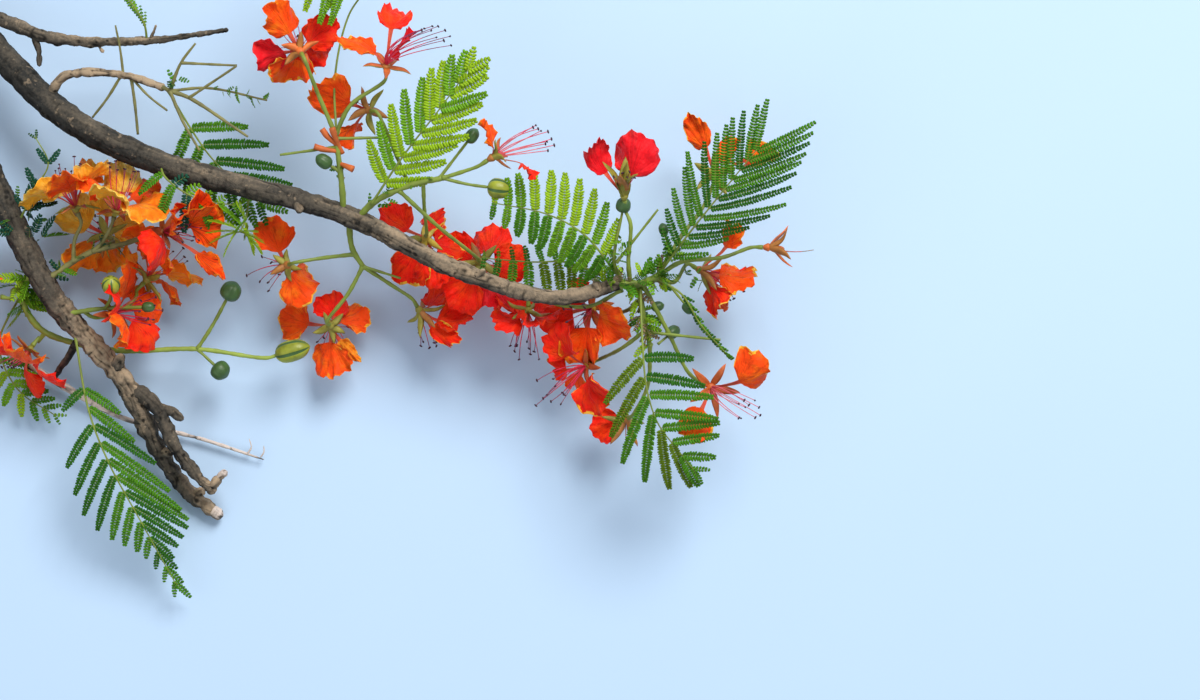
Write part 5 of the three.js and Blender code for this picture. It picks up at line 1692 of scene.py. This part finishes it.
class FlameColours(bpy.types.PropertyGroup):
    """Colours of the limb's finishes."""

    bark_dark: colour_setting("Dark bark", "Bark in the shade and in furrows", (0.032, 0.032, 0.03))
    bark_middle: colour_setting("Bark", "General colour of the bark", (0.125, 0.105, 0.08))
    bark_pale: colour_setting("Pale bark", "Weathered bark", (0.44, 0.33, 0.22))
    bleached: colour_setting("Bleached bark", "The dead twig", (0.72, 0.62, 0.56))
    sawn_wood: colour_setting("Sawn wood", "The cut face of the butt", (0.6, 0.42, 0.24))
    stalk: colour_setting("Stalks", "Green stalks", (0.2, 0.27, 0.035))
    stalk_old: colour_setting("Old stalks", "Olive stalks that are turning woody", (0.2, 0.19, 0.06))
    stalk_bright: colour_setting("Bright stalks", "Yellow-green stalks", (0.3, 0.4, 0.06))
    rust: colour_setting("Rust", "Fallen flower ends and the inside of sepals", (0.55, 0.12, 0.02))
    dry: colour_setting("Dry scales", "Withered scales among young leaves", (0.34, 0.22, 0.11))
    bud: colour_setting("Buds", "Closed buds", (0.05, 0.12, 0.03))
    bud_ripe: colour_setting("Ripe buds", "Buds that are about to open", (0.3, 0.34, 0.025))
    leaf_light: colour_setting("Light leaflets", "Young leaflets", (0.3, 0.5, 0.015))
    # Painted light: the leaflets' green made lighter for rows in the light.
    leaf_fresh: colour_setting("Fresh leaflets", "Leaflets in the light", (0.16, 0.38, 0.015))
    leaf_middle: colour_setting("Leaflets", "General colour of leaflets", (0.075, 0.25, 0.012))
    # Painted shade: the leaflets' green made darker for rows in the shade.
    leaf_deep: colour_setting("Deep leaflets", "Shaded leaflets", (0.032, 0.15, 0.012))
    leaf_olive: colour_setting("Olive leaflets", "Leaflets seen from below", (0.12, 0.21, 0.008))
    leaf_blue: colour_setting("Blue leaflets", "Closed leaflets far back", (0.016, 0.09, 0.055))
    scarlet: colour_setting("Scarlet", "Most petals", (0.95, 0.017, 0.005))
    vermilion: colour_setting("Vermilion", "Orange-red petals", (0.97, 0.075, 0.004))
    orange: colour_setting("Orange", "Orange petals and margins", (0.97, 0.2, 0.006))
    gold: colour_setting("Gold", "Golden petals and margins", (0.97, 0.45, 0.03))
    cream: colour_setting("Cream", "Margins of golden petals", (0.95, 0.7, 0.16))
    crimson: colour_setting("Crimson", "Dark red petals", (0.8, 0.008, 0.016))
    pink: colour_setting("Pink", "Margins of crimson petals", (0.9, 0.035, 0.04))
    claw: colour_setting("Claws", "The narrow foot of a petal", (0.84, 0.15, 0.08))
    sepal_olive: colour_setting("Olive sepals", "The outside of most sepals and cups", (0.3, 0.27, 0.035))
    sepal_brown: colour_setting("Brown sepals", "The outside of older sepals and cups", (0.42, 0.16, 0.03))
    sepal_yellow: colour_setting("Yellow sepals", "The outside of sunlit sepals and cups", (0.56, 0.4, 0.04))
    filament_pink: colour_setting("Pink filaments", "The inner part of sunlit stamens", (0.88, 0.16, 0.2))
    filament: colour_setting("Filaments", "Stamens", (0.72, 0.03, 0.09))
    filament_dark: colour_setting("Dark filaments", "The outer part of stamens", (0.26, 0.02, 0.09))
    anther: colour_setting("Anthers", "Stamen tips", (0.05, 0.012, 0.03))


class FlameLeafSizes(bpy.types.PropertyGroup):
    """Sizes of the compound leaves."""

    stalk_radius: length_setting("Stalk radius", "Radius at the foot of a leaf's stalk", 0.0013)
    leaflet_gap: length_setting("Leaflet gap", "Distance between leaflet pairs along a row", 0.0026)
    leaflet_fill: number_setting(
        "Leaflet fill", "Width of a leaflet beside the gap between two", 1.1, min=0.05, max=2)


class FlameFlowerSizes(bpy.types.PropertyGroup):
    """Sizes of a full flower."""

    cup_length: length_setting("Cup length", "Length of the receptacle", 0.007)
    cup_radius: length_setting("Cup radius", "Radius of the receptacle", 0.0042)
    claw_length: length_setting("Claw length", "Length of a petal's claw", 0.021)
    limb_length: length_setting("Limb length", "Length of a petal's limb", 0.04)
    petal_depth: length_setting("Petal depth", "Thickness of a petal", 0.0004)
    ruffle: length_setting("Ruffle", "Height of the waves round a petal's margin", 0.0032)
    sepal_length: length_setting("Sepal length", "Length of a sepal", 0.027)
    sepal_width: length_setting("Sepal width", "Width of a sepal", 0.0085)
    sepal_depth: length_setting("Sepal depth", "Thickness of a sepal", 0.0012)
    stamen_length: length_setting("Stamen length", "Length of a filament", 0.052)
    stamen_radius: length_setting("Stamen radius", "Radius of a filament at its foot", 0.0006)


class FlameStageSettings(bpy.types.PropertyGroup):
    """The floor, the lights and the camera."""

    floor_size: length_setting("Floor size", "Side of the floor", 14.0)
    floor_colour: colour_setting("Floor", "Colour of the floor", (0.52, 0.7, 0.93))
    key_power: number_setting("Key power", "Power of the key light", 285, unit="POWER")
    fill_power: number_setting("Fill power", "Power of the fill light", 14, unit="POWER")
    sky_strength: number_setting("Sky strength", "Brightness of the sky", 0.46, min=0)
    focal_length: number_setting("Focal length", "Lens of the camera in millimetres", 90, min=1)
    camera_height: length_setting("Camera height", "Height of the camera over the middle of the limb", 3.0)


class FLAME_OT_finishes(bpy.types.Operator):
    """Make the finishes that every piece shares"""

    bl_idname = "flame.finishes"
    bl_label = "Finishes"

    def execute(self, context):
        make_finishes(context.scene.flame_colours)
        return {"FINISHED"}


class FLAME_OT_boughs(bpy.types.Operator):
    """Build the bark of the butt, boughs and twigs"""

    bl_idname = "flame.boughs"
    bl_label = "Boughs"

    def execute(self, context):
        make_boughs()
        return {"FINISHED"}


class FLAME_OT_stalks(bpy.types.Operator):
    """Build the green stalks and their buds"""

    bl_idname = "flame.stalks"
    bl_label = "Stalks and buds"

    def execute(self, context):
        make_stalks()
        return {"FINISHED"}


class FLAME_OT_leaves(bpy.types.Operator):
    """Build the compound leaves"""

    bl_idname = "flame.leaves"
    bl_label = "Leaves"

    def execute(self, context):
        make_leaves(context.scene.flame_leaf)
        return {"FINISHED"}


class FLAME_OT_blossom(bpy.types.Operator):
    """Build the flowers"""

    bl_idname = "flame.blossom"
    bl_label = "Blossom"

    def execute(self, context):
        make_blossom(context.scene.flame_flower)
        return {"FINISHED"}


class FLAME_OT_stage(bpy.types.Operator):
    """Build the floor, the lights and the camera"""

    bl_idname = "flame.stage"
    bl_label = "Stage"

    def execute(self, context):
        make_stage(context.scene.flame_stage)
        return {"FINISHED"}


OPERATORS = (
    FLAME_OT_finishes, FLAME_OT_boughs, FLAME_OT_stalks, FLAME_OT_leaves, FLAME_OT_blossom, FLAME_OT_stage)


class FLAME_PT_limb(bpy.types.Panel):
    """Lists the steps that build the limb"""

    bl_label = "Flame Tree Limb"
    bl_idname = "FLAME_PT_limb"
    bl_space_type = "VIEW_3D"
    bl_region_type = "UI"
    bl_category = "Flame Tree"

    def draw(self, context):
        for operator in OPERATORS:
            self.layout.operator(operator.bl_idname)


GROUPS = {
    "flame_colours": FlameColours,
    "flame_leaf": FlameLeafSizes,
    "flame_flower": FlameFlowerSizes,
    "flame_stage": FlameStageSettings,
}


CLASSES = (*GROUPS.values(), *OPERATORS, FLAME_PT_limb)


def register():
    for group in CLASSES:
        bpy.utils.register_class(group)
    for name, group in GROUPS.items():
        setattr(bpy.types.Scene, name, PointerProperty(type=group))


def unregister():
    for name in GROUPS:
        delattr(bpy.types.Scene, name)
    for group in reversed(CLASSES):
        bpy.utils.unregister_class(group)


def main():
    register()
    bpy.ops.flame.finishes()
    bpy.ops.flame.boughs()
    bpy.ops.flame.stalks()
    bpy.ops.flame.leaves()
    bpy.ops.flame.blossom()
    bpy.ops.flame.stage()
    boxes = {"cad": CAD_BOX, "visual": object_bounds()}
    {name: [list(corner) for corner in box] for name, box in boxes.items()}


if __name__ == "__main__":
    main()
